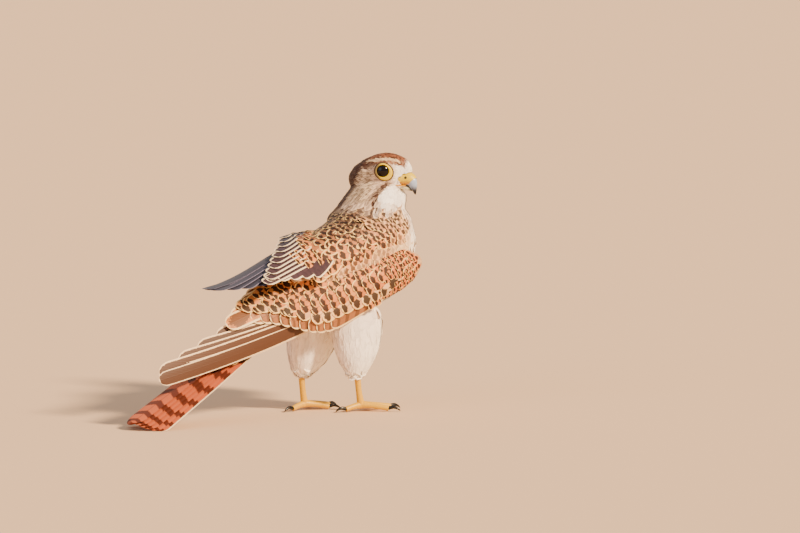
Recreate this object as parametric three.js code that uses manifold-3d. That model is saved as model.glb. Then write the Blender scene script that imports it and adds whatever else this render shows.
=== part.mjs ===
// A common kestrel standing on the ground, life size, as a still museum model.
// Millimetres. The bird heads along +X, its left side is +Y, and Z is up from the floor.
import * as THREE from "three";
import { mergeVertices } from "three/addons/utils/BufferGeometryUtils.js";
import Module from "manifold-3d";

const wasm = await Module();
wasm.setup();

// Driving dimensions of the bird.
const trunkHeight = 107.5;
const headTurn = -65;
const headPlace = [54, -3.6, 179.7];
const wingLength = 242;
const tailLength = 168;
const seam = 0.3;
const vaneThickness = 0.5;

const degree = Math.PI / 180;
const vector = (x, y, z) => new THREE.Vector3(x, y, z);
const mix = (a, b, t) => a + (b - a) * t;

// Finishes, by what the surface is.
const finish = (color, roughness) => new THREE.MeshStandardMaterial({ color, roughness, metalness: 0 });
const finishes = {
  crown: () => finish(0xa8714c, 0.9),
  breast: () => finish(0xf3e2c6, 0.9),
  mantle: () => finish(0xb97a4e, 0.9),
  tail: () => finish(0xa9573a, 0.85),
  skin: () => finish(0xe9c21d, 0.5),
  horn: () => finish(0x33343c, 0.35),
  bill: () => finish(0x8a93a8, 0.3),
  eye: () => finish(0x0d0a09, 0.05),
};

// A closed solid from a list of points and triangles, turned right side out.
function closedSolid(points, faces) {
  const geometry = new THREE.BufferGeometry();
  const numbers = points.flatMap((point) => [point.x, point.y, point.z]);
  geometry.setAttribute("position", new THREE.Float32BufferAttribute(numbers, 3));
  geometry.setIndex(faces);
  const merged = mergeVertices(geometry, 1e-4);
  const vertProperties = new Float32Array(merged.attributes.position.array);
  const triVerts = new Uint32Array(merged.index.array);
  let body = new wasm.Manifold(new wasm.Mesh({ numProp: 3, vertProperties, triVerts }));
  if (body.volume() < 0) {
    const turned = new Uint32Array(triVerts.length);
    for (let i = 0; i < triVerts.length; i += 3) {
      turned.set([triVerts[i], triVerts[i + 2], triVerts[i + 1]], i);
    }
    body = new wasm.Manifold(new wasm.Mesh({ numProp: 3, vertProperties, triVerts: turned }));
  }
  return body;
}

// A skin over rings of points that all have the same count, closed at both ends.
function skinOver(rings) {
  const sides = rings[0].length;
  const points = rings.flat();
  const faces = [];
  for (let r = 0; r < rings.length - 1; r += 1) {
    for (let k = 0; k < sides; k += 1) {
      const here = r * sides + k;
      const beside = r * sides + ((k + 1) % sides);
      faces.push(here, beside, beside + sides, here, beside + sides, here + sides);
    }
  }
  for (const [row, flip] of [[0, true], [rings.length - 1, false]]) {
    const middle = points.length;
    const sum = rings[row].reduce((total, point) => total.clone().add(point), vector(0, 0, 0));
    points.push(sum.divideScalar(sides));
    for (let k = 0; k < sides; k += 1) {
      const a = row * sides + k;
      const b = row * sides + ((k + 1) % sides);
      faces.push(...(flip ? [b, a, middle] : [a, b, middle]));
    }
  }
  return closedSolid(points, faces);
}

// A smooth value through evenly spaced knots.
function smooth(knots, t) {
  const last = knots.length - 1;
  const place = Math.min(Math.max(t, 0) * last, last - 1e-6);
  const i = Math.floor(place);
  const f = place - i;
  const [b, c] = [knots[i], knots[i + 1]];
  const a = knots[Math.max(i - 1, 0)];
  const d = knots[Math.min(i + 2, last)];
  return 0.5 * (2 * b + (c - a) * f + (2 * a - 5 * b + 4 * c - d) * f * f + (3 * b - a - 3 * c + d) * f ** 3);
}

// An oval tube through stations of [x, y, z, left, right, top, bottom], the last four being
// its reach to each side of the line. grow makes the same tube larger all round.
function ovalTube(stations, { left, rings, sides, grow = 0, place = (p) => p }) {
  const value = (index, t) => smooth(stations.map((station) => station[index]), t);
  const centre = (t) => vector(value(0, t), value(1, t), value(2, t));
  const list = [];
  for (let r = 0; r <= rings; r += 1) {
    const t = r / rings;
    const along = centre(Math.min(t + 0.01, 1)).sub(centre(Math.max(t - 0.01, 0))).normalize();
    const across = left.clone().addScaledVector(along, -left.dot(along)).normalize();
    const up = along.clone().cross(across);
    const end = r === 0 ? -grow : r === rings ? grow : 0;
    const ring = [];
    for (let k = 0; k < sides; k += 1) {
      const angle = (2 * Math.PI * k) / sides;
      const wide = Math.cos(angle) * (grow + Math.max(value(Math.cos(angle) > 0 ? 3 : 4, t), 0.2));
      const high = Math.sin(angle) * (grow + Math.max(value(Math.sin(angle) > 0 ? 5 : 6, t), 0.2));
      const onRing = centre(t).addScaledVector(across, wide).addScaledVector(up, high);
      ring.push(place(onRing.addScaledVector(along, end)));
    }
    list.push(ring);
  }
  return skinOver(list);
}

const joined = (solids) => solids.reduce((total, next) => total.add(next));
const largest = (solid) => solid.decompose().sort((a, b) => b.volume() - a.volume())[0];

// The trunk, from the rump to the base of the neck, pitched head up and rolled to the right.
const roll = 8 * degree;
const trunkLeft = vector(0, Math.cos(roll), Math.sin(roll));
const trunkStations = [
  [-88, 2, -36, 7, 7, 6, 6],
  [-76, 1, -32, 14, 14, 13, 13],
  [-52, 0, -21, 19, 19, 21, 25],
  [-24, 0, -9, 26, 26, 30, 32],
  [4, 0, 1, 30, 29, 34, 38],
  [28, 0, 9, 32, 30, 38, 43],
  [45, -1, 19, 30, 28, 39, 42],
  [53, -2, 34, 26, 23, 37, 24],
  [54, -3, 48, 21, 16, 30, 11],
].map(([x, y, z, ...reach]) => [x, y, z + trunkHeight, ...reach]);
const trunkShape = (grow) => ovalTube(trunkStations, { left: trunkLeft, rings: 12, sides: 22, grow });

// The head in its own directions: forward, right and up from the point midway between the eyes.
const turned = headTurn * degree;
const headForward = vector(Math.cos(turned), Math.sin(turned), 0);
const headRight = vector(Math.sin(turned), -Math.cos(turned), 0);
const headUp = vector(0, 0, 1);
function onHead(forward, right, up) {
  return vector(...headPlace)
    .addScaledVector(headForward, forward)
    .addScaledVector(headRight, right)
    .addScaledVector(headUp, up);
}
const fromHead = (p) => onHead(p.x, -p.y, p.z);
const skullStations = [
  [-30, 0, -12, 5, 5, 5, 8],
  [-25, 0, -9, 11.5, 11.5, 11.5, 12],
  [-15, 0, -5, 15, 15, 15.5, 17],
  [-5, 0, -4, 15.6, 15.6, 19, 18],
  [4, 0, -4, 15, 15, 19, 16.5],
  [10, 0, -4, 10.8, 10.8, 17.4, 13.5],
  [14, 0, -4, 7, 7, 16, 9],
  [17.5, 0, -4, 5.4, 5.4, 14, 4.4],
  [21, 0, -4, 3, 3, 8.6, 1],
];
const chinStations = [
  [2, 0, -15, 9, 9, 5, 10],
  [8, 0, -17.4, 7.6, 7.6, 4, 11],
  [12.8, 0, -18.4, 6, 6, 4.4, 12],
  [15.8, 0, -19, 3.6, 3.6, 3, 10],
];
const neckStations = [
  [46, 1, 132, 34, 26, 43, 20],
  [48, 0, 146, 35, 22.5, 39, 18],
  [48, -1, 160, 31, 21, 23, 20],
  [49, -2, 170, 24, 15, 14, 14],
  [50, -3, 178, 14, 8, 6, 6],
];

// The eyes stand in sockets, each looking a little forward, within a bare ring.
const eyeRadius = 6.6;
const eyePlace = { forward: 1, right: 10.5, up: 1.6 };
const eyeAside = 22 * degree;
function eyeCentre(side) {
  return onHead(eyePlace.forward, side * eyePlace.right, eyePlace.up);
}
function eyeAxis(side) {
  const ahead = headForward.clone().multiplyScalar(Math.sin(eyeAside));
  return ahead.addScaledVector(headRight, side * Math.cos(eyeAside));
}
// A shape turned on its own axis from [radius, height] pairs, stood at a place along a direction.
function turnedShape(profile, segments, place, axis) {
  const outline = profile.map(([radius, height]) => new THREE.Vector2(radius, height));
  const geometry = new THREE.LatheGeometry(outline, segments);
  const stand = new THREE.Quaternion().setFromUnitVectors(vector(0, 1, 0), axis);
  geometry.applyQuaternion(stand);
  geometry.translate(place.x, place.y, place.z);
  return solidFrom(geometry);
}
// A closed three.js geometry as a solid, with its doubled points merged.
function solidFrom(geometry) {
  geometry.deleteAttribute("normal");
  geometry.deleteAttribute("uv");
  const merged = mergeVertices(geometry, 1e-4);
  const points = [];
  for (let i = 0; i < merged.attributes.position.count; i += 1) {
    points.push(new THREE.Vector3().fromBufferAttribute(merged.attributes.position, i));
  }
  const faces = [];
  const index = merged.index.array;
  for (let i = 0; i < index.length; i += 3) {
    const corners = [index[i], index[i + 1], index[i + 2]];
    if (new Set(corners).size === 3) faces.push(...corners);
  }
  return closedSolid(points, faces);
}
function ball(radius, segments, place, axis) {
  const profile = [];
  for (let k = 0; k <= segments / 2; k += 1) {
    const angle = (2 * Math.PI * k) / segments;
    profile.push([radius * Math.sin(angle), -radius * Math.cos(angle)]);
  }
  profile[0][0] = 0;
  profile[profile.length - 1][0] = 0;
  return turnedShape(profile, segments, place, axis);
}
// The groove of the gape: a level slab across the face, less the head shrunk by the fold's depth.
function gapeGroove() {
  const slab = new THREE.BoxGeometry(gape.to - gape.from, gape.width, gape.height);
  slab.rotateZ(headTurn * degree);
  const middle = onHead((gape.from + gape.to) / 2, 0, gape.up);
  slab.translate(middle.x, middle.y, middle.z);
  return solidFrom(slab).subtract(ovalTube(skullStations, { ...skullOptions, grow: -gape.depth }));
}
const lidReach = 8;
const lidHeight = 3.9;
const lidRise = 1.1;
const lidSlope = 2.2;
const lidRoot = 2;
function lidRing(side) {
  const edge = [lidReach - lidSlope, lidHeight + lidRise];
  const profile = [[0, -lidRoot], [lidReach, -lidRoot], [lidReach, lidHeight], edge, [0, edge[1]]];
  return turnedShape(profile, 16, eyeCentre(side), eyeAxis(side));
}

// The bill: a hooked upper half, a shorter lower half, and the soft bare cere round their base.
const upperBillStations = [
  [15, 0, -5.4, 4.6, 4.6, 4.6, 4.2],
  [18, 0, -5.6, 4.5, 4.5, 4.6, 5],
  [20.4, 0, -7.6, 3.7, 3.7, 3.9, 5],
  [22, 0, -11.6, 2.3, 2.3, 2.3, 2.8],
  [23.2, 0, -16.6, 0.5, 0.5, 0.5, 0.5],
];
const cereStations = [
  [10.5, 0, -5.4, 7.6, 7.6, 4.4, 4.2],
  [14, 0, -5.2, 6.6, 6.6, 5.3, 4.6],
  [17.4, 0, -5.2, 5.6, 5.6, 5.5, 4.7],
  [19.6, 0, -6.3, 4.8, 4.8, 5, 4.5],
  [20.5, 0, -7.1, 4.1, 4.1, 4.4, 4],
];
const lowerBillStations = [
  [12, 0, -10.8, 4.4, 4.4, 1.6, 2],
  [17, 0, -12, 3.5, 3.5, 1.6, 1.8],
  [20.6, 0, -13.4, 1.4, 1.4, 0.9, 0.8],
];
const billOptions = { left: vector(0, 1, 0), place: fromHead };
const upperBill = (grow) => ovalTube(upperBillStations, { ...billOptions, rings: 8, sides: 12, grow });
const lowerBill = (grow) => ovalTube(lowerBillStations, { ...billOptions, rings: 4, sides: 10, grow });
const cereShape = (grow) => ovalTube(cereStations, { ...billOptions, rings: 6, sides: 16, grow });

// The nostrils are round pits in the cere, and the gape is a fold from the bill to below the eye.
const nostril = { forward: 17.4, right: 5.4, up: -3.6, radius: 1 };
const gape = { from: 5, to: 17, up: -9.2, height: 0.6, depth: 1, width: 30 };

// A folded wing is a curved sheet: the first measure runs from the bend to the tip, the second
// from the lower edge up to the back, and the third is the height over the sheet.
function wingSheet({ bend, tip, side, tiltFront, tiltRear, tiltedBy, radiusFront, radiusRear, hump }) {
  const along = tip.clone().sub(bend).normalize();
  const outward = vector(0, side, 0);
  outward.addScaledVector(along, -outward.dot(along)).normalize();
  const upward = along.clone().cross(outward).multiplyScalar(-side).normalize();
  const length = tip.distanceTo(bend);
  return (l, q, h) => {
    const t = Math.min(Math.max(l / length, 0), 1);
    const turned = Math.min(t / tiltedBy, 1);
    const tilt = mix(tiltFront, tiltRear, turned * turned * (3 - 2 * turned)) * degree;
    const radius = mix(radiusFront, radiusRear, t);
    const normal = outward.clone().multiplyScalar(Math.cos(tilt)).addScaledVector(upward, Math.sin(tilt));
    const across = upward.clone().multiplyScalar(Math.cos(tilt)).addScaledVector(outward, -Math.sin(tilt));
    const fromHump = (t - hump.at) / (t < hump.at ? hump.before : hump.after);
    const arch = hump.height * Math.exp(-(fromHump ** 2));
    const rise = (radius + h) * Math.cos(q / radius) - radius + arch;
    return bend
      .clone()
      .addScaledVector(along, l * (length / wingLength))
      .addScaledVector(across, (radius + h) * Math.sin(q / radius))
      .addScaledVector(normal, rise);
  };
}

// One feather vane on a sheet: from its root to its round tip, with both faces split alike.
const vaneRows = [0, 0.55, 0.88, 1];
const vaneWidths = [0.6, 1, 0.84, 0.22];
function vane(sheet, { root, tip, half, level, slope, bend = 0, thickness = vaneThickness }) {
  const top = [];
  const bottom = [];
  vaneRows.forEach((s, row) => {
    const l = mix(root[0], tip[0], s);
    const q = mix(root[1], tip[1], s) + bend * 4 * s * (1 - s);
    for (const side of [-1, 0, 1]) {
      const shift = side * half * vaneWidths[row];
      const h = level + slope * shift;
      top.push(sheet(l, q + shift, h));
      bottom.push(sheet(l, q + shift, h - thickness));
    }
  });
  const points = [...top, ...bottom];
  const under = top.length;
  const faces = [];
  const quad = (a, b, c, d) => faces.push(a, b, c, a, c, d);
  for (let row = 0; row < vaneRows.length - 1; row += 1) {
    for (const column of [0, 1]) {
      const a = row * 3 + column;
      quad(a, a + 1, a + 4, a + 3);
      faces.push(under + a, under + a + 4, under + a + 1, under + a, under + a + 3, under + a + 4);
    }
    for (const [edge, flip] of [[0, false], [2, true]]) {
      const a = row * 3 + edge;
      if (flip) quad(a + 3, a, under + a, under + a + 3);
      else quad(a, a + 3, under + a + 3, under + a);
    }
  }
  const end = (vaneRows.length - 1) * 3;
  for (const column of [0, 1]) {
    quad(column + 1, column, under + column, under + column + 1);
    quad(end + column, end + column + 1, under + end + column + 1, under + end + column);
  }
  return closedSolid(points, faces);
}

// The fleshy fore part of a wing with its small coverts, as a pad along the sheet.
const padSides = 18;
function wingPad(sheet, { from, to, low, high, top, bottom }) {
  const rings = [];
  const steps = 10;
  for (let r = 0; r <= steps; r += 1) {
    const t = (r / steps) ** 1.6;
    const l = mix(from, to, t);
    const noseRound = Math.sqrt(1.05 - (1 - Math.min(t / 0.1, 1)) ** 2);
    const middle = (smooth(low, t) + smooth(high, t)) / 2;
    const half = (noseRound * (smooth(high, t) - smooth(low, t))) / 2;
    const rise = (noseRound * (smooth(top, t) - smooth(bottom, t))) / 2;
    const centre = (smooth(top, t) + smooth(bottom, t)) / 2;
    const ring = [];
    for (let k = 0; k < padSides; k += 1) {
      const angle = (2 * Math.PI * k) / padSides;
      ring.push(sheet(l, middle + half * Math.cos(angle), centre + rise * Math.sin(angle)));
    }
    rings.push(ring);
  }
  return skinOver(rings);
}
const padShape = {
  from: -7,
  to: 150,
  low: [-11, -18, -19, -19, -13, -3, 10],
  high: [13, 22, 28, 33, 34, 32, 24],
  top: [-1.5, 0.6, 1, 1, 0.6, -0.6, -1.6],
  bottom: [-11, -12, -13, -12, -9.5, -6, -4],
};

// Wing feathers by tier. Number 1 is the innermost primary and the outermost secondary.
const innerPrimary = 3;
const outerPrimary = 10;
const secondaryCount = 7;
const tertialCount = 3;
const covertCount = 6;
function primaries(sheet) {
  const list = [];
  for (let i = innerPrimary; i <= outerPrimary; i += 1) {
    const drop = i === 10 ? 14 : i === 9 ? 0 : 2 + 19 * (8 - i);
    list.push(vane(sheet, {
      root: [12 + 4.2 * (i - 1), -5 - 0.9 * (i - 1)],
      tip: [wingLength - drop, i > 8 ? -5 : -1.5 + 3 * (8 - i)],
      half: i > 8 ? 6 : 9.2,
      level: -7.4 - 0.3 * (i - 5),
      slope: 0.34,
      bend: -4,
    }));
  }
  return list;
}
// The tips of the secondaries follow the lower edge and then rise in a bow to the tertials.
function secondaryTip(i, count) {
  const l = mix(90, 152, (i - 1) / (count - 1));
  const t = Math.min(Math.max((l - 95) / 65, 0), 1);
  return [l, -18.6 + 30 * t * t * (3 - 2 * t)];
}
function secondaries(sheet) {
  const list = [];
  for (let i = 1; i <= secondaryCount; i += 1) {
    list.push(vane(sheet, {
      root: [14 + 10.5 * (i - 1), -7 + 4.5 * (i - 1)],
      tip: secondaryTip(i, secondaryCount),
      half: 8,
      level: -2.6,
      slope: 0.24,
      bend: -2,
    }));
  }
  for (let i = 0; i < tertialCount; i += 1) {
    list.push(vane(sheet, {
      root: [74, 22 + 2.4 * i],
      tip: [172 - 9 * i, 14 + 4.4 * i],
      half: 8.4,
      level: -1.4 + 0.5 * i,
      slope: 0.2,
    }));
  }
  return list;
}
function greaterCoverts(sheet) {
  const list = [];
  for (let i = 0; i < covertCount; i += 1) {
    list.push(vane(sheet, {
      root: [24 + 12 * i, -4 + 5.6 * i],
      tip: [70 + 12 * i, -13 + 5.4 * i],
      half: 8,
      level: 1.2,
      slope: 0.2,
    }));
  }
  return list;
}
const rightSheet = wingSheet({
  bend: vector(57, -36, 5 + trunkHeight),
  tip: vector(-174, -13, -63 + trunkHeight),
  side: -1,
  tiltFront: 12,
  tiltRear: 36,
  tiltedBy: 1,
  radiusFront: 40,
  radiusRear: 80,
  hump: { height: 3, at: 0.5, before: 0.35, after: 0.35 },
});
const leftSheet = wingSheet({
  bend: vector(55, 37, 4 + trunkHeight),
  tip: vector(-141, -36, 2 + trunkHeight),
  side: 1,
  tiltFront: 26,
  tiltRear: 114,
  tiltedBy: 0.6,
  radiusFront: 40,
  radiusRear: 80,
  hump: { height: 25.5, at: 0.38, before: 0.28, after: 0.36 },
});
function wingSolid(sheet) {
  const pad = wingPad(sheet, padShape);
  return joined([pad, ...primaries(sheet), ...secondaries(sheet), ...greaterCoverts(sheet)]);
}

// The tail: rectrices side by side from the rump, the middle pair on top, and coverts over them.
const rectrixCount = 12;
const tailRoot = vector(-58, 1, -30 + trunkHeight);
const tailEnd = vector(-192, -2, -101 + trunkHeight);
const tailAlong = tailEnd.clone().sub(tailRoot).normalize();
const tailLeft = trunkLeft.clone().addScaledVector(tailAlong, -trunkLeft.dot(tailAlong)).normalize();
const tailUp = tailLeft.clone().cross(tailAlong).normalize();
function tailSheet(l, q, h) {
  return tailRoot
    .clone()
    .addScaledVector(tailAlong, l * (tailRoot.distanceTo(tailEnd) / tailLength))
    .addScaledVector(tailLeft, q)
    .addScaledVector(tailUp, h - (q * q) / 160);
}
const tailCovertStations = [
  [-52, 1, -28, 8, 8, 6, 9],
  [-70, 1, -39, 13, 13, 7, 13],
  [-92, 1, -51.5, 13, 13, 5, 12],
  [-116, 0.5, -64, 7, 7, 1.5, 8],
].map(([x, y, z, ...reach]) => [x, y, z + trunkHeight, ...reach]);
const tailCoverts = (grow) => ovalTube(tailCovertStations, { left: trunkLeft, rings: 6, sides: 16, grow });
function tailSolid() {
  const list = [];
  for (let i = 0; i < rectrixCount; i += 1) {
    const side = i % 2 ? 1 : -1;
    const rank = Math.floor(i / 2);
    list.push(vane(tailSheet, {
      root: [16, side * (1 + 1.4 * rank)],
      tip: [tailLength - 0.25 * rank * rank - 0.5 * rank, side * (1.2 + 2.7 * rank)],
      half: 7.2,
      level: -0.85 * i,
      slope: 0,
    }));
  }
  return joined([tailCoverts(0), ...list]);
}

// Legs: feathered thighs, bare tarsi, four toes with claws. Each foot stands on small flats.
const legs = [
  { name: "right", hip: [6, -13, 84], ankle: [13, -15.5, 27], foot: [17, -16, 5], heading: -8 },
  { name: "left", hip: [-8, 13, 80], ankle: [-15, 17, 27], foot: [-11, 17.5, 5], heading: 6 },
];
const toes = [
  { name: "middle", turn: 0, length: 26 },
  { name: "inner", turn: 34, length: 19 },
  { name: "outer", turn: -36, length: 21 },
  { name: "hind", turn: 178, length: 13 },
];
const toeRadius = 2.3;
const solePad = { radius: 4, height: 3.6 };
const tarsusOverFoot = 3.4;
const clawLength = 9;
function thigh({ hip, ankle }, grow) {
  const at = (t) => [0, 1, 2].map((axis) => mix(hip[axis], ankle[axis], t));
  return ovalTube([
    [...at(-0.12), 10, 10, 14, 13],
    [...at(0.2), 14, 14, 30, 19],
    [...at(0.5), 13.5, 13.5, 29, 17],
    [...at(0.8), 10.5, 10.5, 21, 13],
    [...at(1), 5, 5, 8, 7],
  ], { left: vector(0, 1, 0), rings: 8, sides: 16, grow });
}
function straightTube(points, radii, sides, grow = 0) {
  const stations = points.map((point, i) => [...point, radii[i], radii[i], radii[i], radii[i]]);
  const left = vector(0.12, 1, 0.08).normalize();
  return ovalTube(stations, { left, rings: (points.length - 1) * 2, sides, grow });
}
function tarsus({ ankle, foot }, grow) {
  const upper = [ankle[0] - 0.2, ankle[1], ankle[2] + 9];
  const middle = [0, 1, 2].map((axis) => (ankle[axis] + foot[axis]) / 2);
  return straightTube([upper, middle, foot], [2.6, 2.2, 2.9], 10, grow);
}
function toeTube({ foot, heading }, toe, side, grow = 0) {
  const angle = (heading + side * toe.turn) * degree;
  const reach = (distance, height) => [
    foot[0] + distance * Math.cos(angle),
    foot[1] + distance * Math.sin(angle),
    height,
  ];
  const arch = toeRadius + 1.1;
  const points = [
    reach(0, foot[2]),
    reach(toe.length * 0.35, arch + 1),
    reach(toe.length * 0.7, arch),
    reach(toe.length, toeRadius),
  ];
  return straightTube(points, [2.9, 2.2, 2, 1.9], 7, grow);
}
function clawTube({ foot, heading }, toe, side) {
  const angle = (heading + side * toe.turn) * degree;
  const reach = (distance, height) => [
    foot[0] + (toe.length + distance) * Math.cos(angle),
    foot[1] + (toe.length + distance) * Math.sin(angle),
    height,
  ];
  const points = [
    reach(0, toeRadius + 0.3),
    reach(clawLength * 0.45, toeRadius + 1),
    reach(clawLength * 0.85, toeRadius - 0.4),
    reach(clawLength, 0.35),
  ];
  return straightTube(points, [1.55, 1.2, 0.7, 0.25], 7);
}

// Everything under the floor is cut away, which leaves small flats where the bird stands.
const floorNormal = [0, 0, 1];
const standing = (solid) => solid.trimByPlane(floorNormal, 0);

// The neck is parted from the head and from the trunk by two thin cuts.
const neckLow = { normal: vector(0.42, 0, 0.91).normalize(), through: vector(52, -2, 143) };
const neckHigh = { normal: vector(0.25, -0.12, 0.96).normalize(), through: vector(50, -3, 162) };
function above(solid, cut) {
  return solid.trimByPlane(cut.normal.toArray(), cut.normal.dot(cut.through) + seam / 2);
}
function below(solid, cut) {
  return solid.trimByPlane(cut.normal.clone().negate().toArray(), seam / 2 - cut.normal.dot(cut.through));
}

const skullOptions = { left: vector(0, 1, 0), rings: 12, sides: 20, place: fromHead };
const skull = ovalTube(skullStations, skullOptions);
const chin = ovalTube(chinStations, { ...skullOptions, rings: 5, sides: 14 });
const neckShape = (grow) => ovalTube(neckStations, { left: vector(0, 1, 0), rings: 6, sides: 20, grow });
const thighs = legs.map((leg) => thigh(leg, 0));
const whole = joined([trunkShape(0), neckShape(0), skull, chin]);
let head = above(whole, neckHigh);
head = head.subtract(gapeGroove());
for (const side of [1, -1]) head = head.add(lidRing(side));
for (const side of [1, -1]) head = head.subtract(ball(eyeRadius + seam, 16, eyeCentre(side), eyeAxis(side)));
const upperRoom = upperBill(seam).add(upperBill(0));
const billRoom = upperRoom.add(lowerBill(seam));
head = head.subtract(cereShape(seam)).subtract(billRoom);
let cere = cereShape(0).subtract(billRoom);
for (const side of [1, -1]) {
  const pit = onHead(nostril.forward, side * nostril.right, nostril.up);
  cere = cere.subtract(ball(nostril.radius, 12, pit, headRight));
}
const neck = above(below(whole, neckHigh), neckLow);
let torso = below(whole, neckLow);
const tail = tailSolid();
const thighRoom = joined(legs.map((leg) => thigh(leg, seam)));
torso = torso.subtract(thighRoom).subtract(tailCoverts(seam));

const nodes = [];
function part(name, solid, material) {
  const mesh = largest(solid).getMesh();
  const geometry = new THREE.BufferGeometry();
  geometry.setAttribute("position", new THREE.BufferAttribute(new Float32Array(mesh.vertProperties), 3));
  geometry.setIndex(Array.from(mesh.triVerts));
  geometry.computeVertexNormals();
  const node = new THREE.Mesh(geometry, material);
  node.name = name;
  nodes.push(node);
}

part("head", head, finishes.crown());
part("neck", neck, finishes.crown());
part("torso", torso, finishes.breast());
const trunkRoom = joined([trunkShape(seam), neckShape(seam), tailCoverts(seam), thighRoom]);
part("wing_right", wingSolid(rightSheet).subtract(trunkRoom), finishes.mantle());
part("wing_left", wingSolid(leftSheet).subtract(trunkRoom), finishes.mantle());
part("tail", standing(tail), finishes.tail());
part("cere", cere, finishes.skin());
part("bill_upper", upperBill(0), finishes.bill());
part("bill_lower", lowerBill(0).subtract(upperRoom), finishes.bill());
for (const [name, side] of [["eye_right", 1], ["eye_left", -1]]) {
  part(name, ball(eyeRadius, 16, eyeCentre(side), eyeAxis(side)), finishes.eye());
}
legs.forEach((leg, index) => {
  const side = leg.name === "right" ? -1 : 1;
  part(`thigh_${leg.name}`, thighs[index].subtract(tarsus(leg, seam)), finishes.breast());
  const tarsusEnd = leg.foot[2] + tarsusOverFoot;
  part(`tarsus_${leg.name}`, tarsus(leg, 0).trimByPlane(floorNormal, tarsusEnd), finishes.skin());
  const foot = joined([
    ball(solePad.radius, 10, vector(leg.foot[0], leg.foot[1], solePad.height), vector(0, 0, 1)),
    ...toes.map((toe) => toeTube(leg, toe, -side)),
  ]);
  const ankleRoom = tarsus(leg, seam).trimByPlane(floorNormal, tarsusEnd - seam);
  part(`foot_${leg.name}`, standing(foot).subtract(ankleRoom), finishes.skin());
  for (const toe of toes) {
    const claw = standing(clawTube(leg, toe, -side)).subtract(toeTube(leg, toe, -side, seam));
    part(`claw_${leg.name}_${toe.name}`, claw, finishes.horn());
  }
});

// The whole bird is moved so that its box stands centred on the origin.
const bird = new THREE.Group();
bird.add(...nodes);
const box = new THREE.Box3().setFromObject(bird);
const shift = box.getCenter(vector(0, 0, 0)).setZ(box.min.z).negate();
for (const node of nodes) node.geometry.translate(shift.x, shift.y, shift.z);

export default bird;
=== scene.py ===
import math
import random

import bpy
import numpy as np
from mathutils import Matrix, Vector
from mathutils.bvhtree import BVHTree


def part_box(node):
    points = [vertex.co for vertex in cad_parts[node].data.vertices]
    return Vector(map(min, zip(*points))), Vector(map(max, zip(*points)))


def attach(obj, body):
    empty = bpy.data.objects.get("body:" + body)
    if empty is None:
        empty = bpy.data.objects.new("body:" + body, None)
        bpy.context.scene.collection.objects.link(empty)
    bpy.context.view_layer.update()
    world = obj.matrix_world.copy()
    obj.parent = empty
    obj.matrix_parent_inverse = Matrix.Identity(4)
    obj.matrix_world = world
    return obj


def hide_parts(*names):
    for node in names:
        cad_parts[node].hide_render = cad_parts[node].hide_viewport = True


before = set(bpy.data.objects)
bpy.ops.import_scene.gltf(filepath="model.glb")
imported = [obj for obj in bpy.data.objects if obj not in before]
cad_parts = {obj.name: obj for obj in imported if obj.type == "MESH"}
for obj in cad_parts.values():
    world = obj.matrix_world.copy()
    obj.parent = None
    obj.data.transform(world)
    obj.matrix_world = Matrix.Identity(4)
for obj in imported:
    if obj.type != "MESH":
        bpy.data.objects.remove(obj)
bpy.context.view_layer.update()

# Where the bird stands. The two eyeballs of the frame give the head's place and the way it looks,
# and the trunk's centre follows from them, in the same millimetres as the bird was drawn in.
MM = 0.001


def node_centre(name):
    low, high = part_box(name)
    return (low + high) / 2


eye_right_centre = node_centre("eye_right") / MM
eye_left_centre = node_centre("eye_left") / MM
head_right = (eye_right_centre - eye_left_centre).normalized()
head_up = Vector((0, 0, 1))
head_forward = head_up.cross(head_right)
eye_ahead_of_head = 1.0
eye_above_head = 1.6
between_eyes = (eye_right_centre + eye_left_centre) / 2
head_place = between_eyes - head_forward * eye_ahead_of_head - head_up * eye_above_head
trunk_to_head = Vector((54, -3.6, 179.7))
trunk_origin = head_place - trunk_to_head
trunk_height = 107.5


def on_head(forward, right, up):
    return head_place + head_forward * forward + head_right * right + head_up * up


# The camera stands low behind the bird's right side with a long lens, and the bird fills
# the left half of the frame, as in the photograph.
view_azimuth = math.radians(-40)
view_elevation = math.radians(5.5)
view_width = 606
lens_length = 300
sensor_width = 36
camera_back = Vector((
    math.sin(view_azimuth) * math.cos(view_elevation),
    -math.cos(view_azimuth) * math.cos(view_elevation),
    math.sin(view_elevation),
))
camera_right = Vector((math.cos(view_azimuth), math.sin(view_azimuth), 0))
camera_up = camera_back.cross(camera_right)
trunk_centre = trunk_origin + Vector((0, 0, trunk_height))
aim_right = 53
aim_up = 2.7
aim = trunk_centre + camera_right * aim_right + camera_up * aim_up
camera_data = bpy.data.cameras.new("camera")
camera_data.lens = lens_length
camera_data.sensor_width = sensor_width
camera = bpy.data.objects.new("camera", camera_data)
camera.location = (aim + camera_back * (view_width * lens_length / sensor_width)) * MM
camera.rotation_mode = "QUATERNION"
camera.rotation_quaternion = (-camera_back).to_track_quat("-Z", "Y")
camera_data.clip_start = 0.05
camera_data.clip_end = 60
bpy.context.scene.collection.objects.link(camera)
bpy.context.scene.camera = camera


# The room is a plain pale floor under an even sky. A soft warm sun stands high on the right of
# the camera, and a weak cool one on the left opens the shadows.
def tint(code):
    channels = [int(code[i:i + 2], 16) / 255 for i in (0, 2, 4)]
    return [c / 12.92 if c <= 0.04045 else ((c + 0.055) / 1.055) ** 2.4 for c in channels]


def new_material(name):
    material = bpy.data.materials.new(name)
    material.use_nodes = True
    return material, material.node_tree, material.node_tree.nodes["Principled BSDF"]


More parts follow.
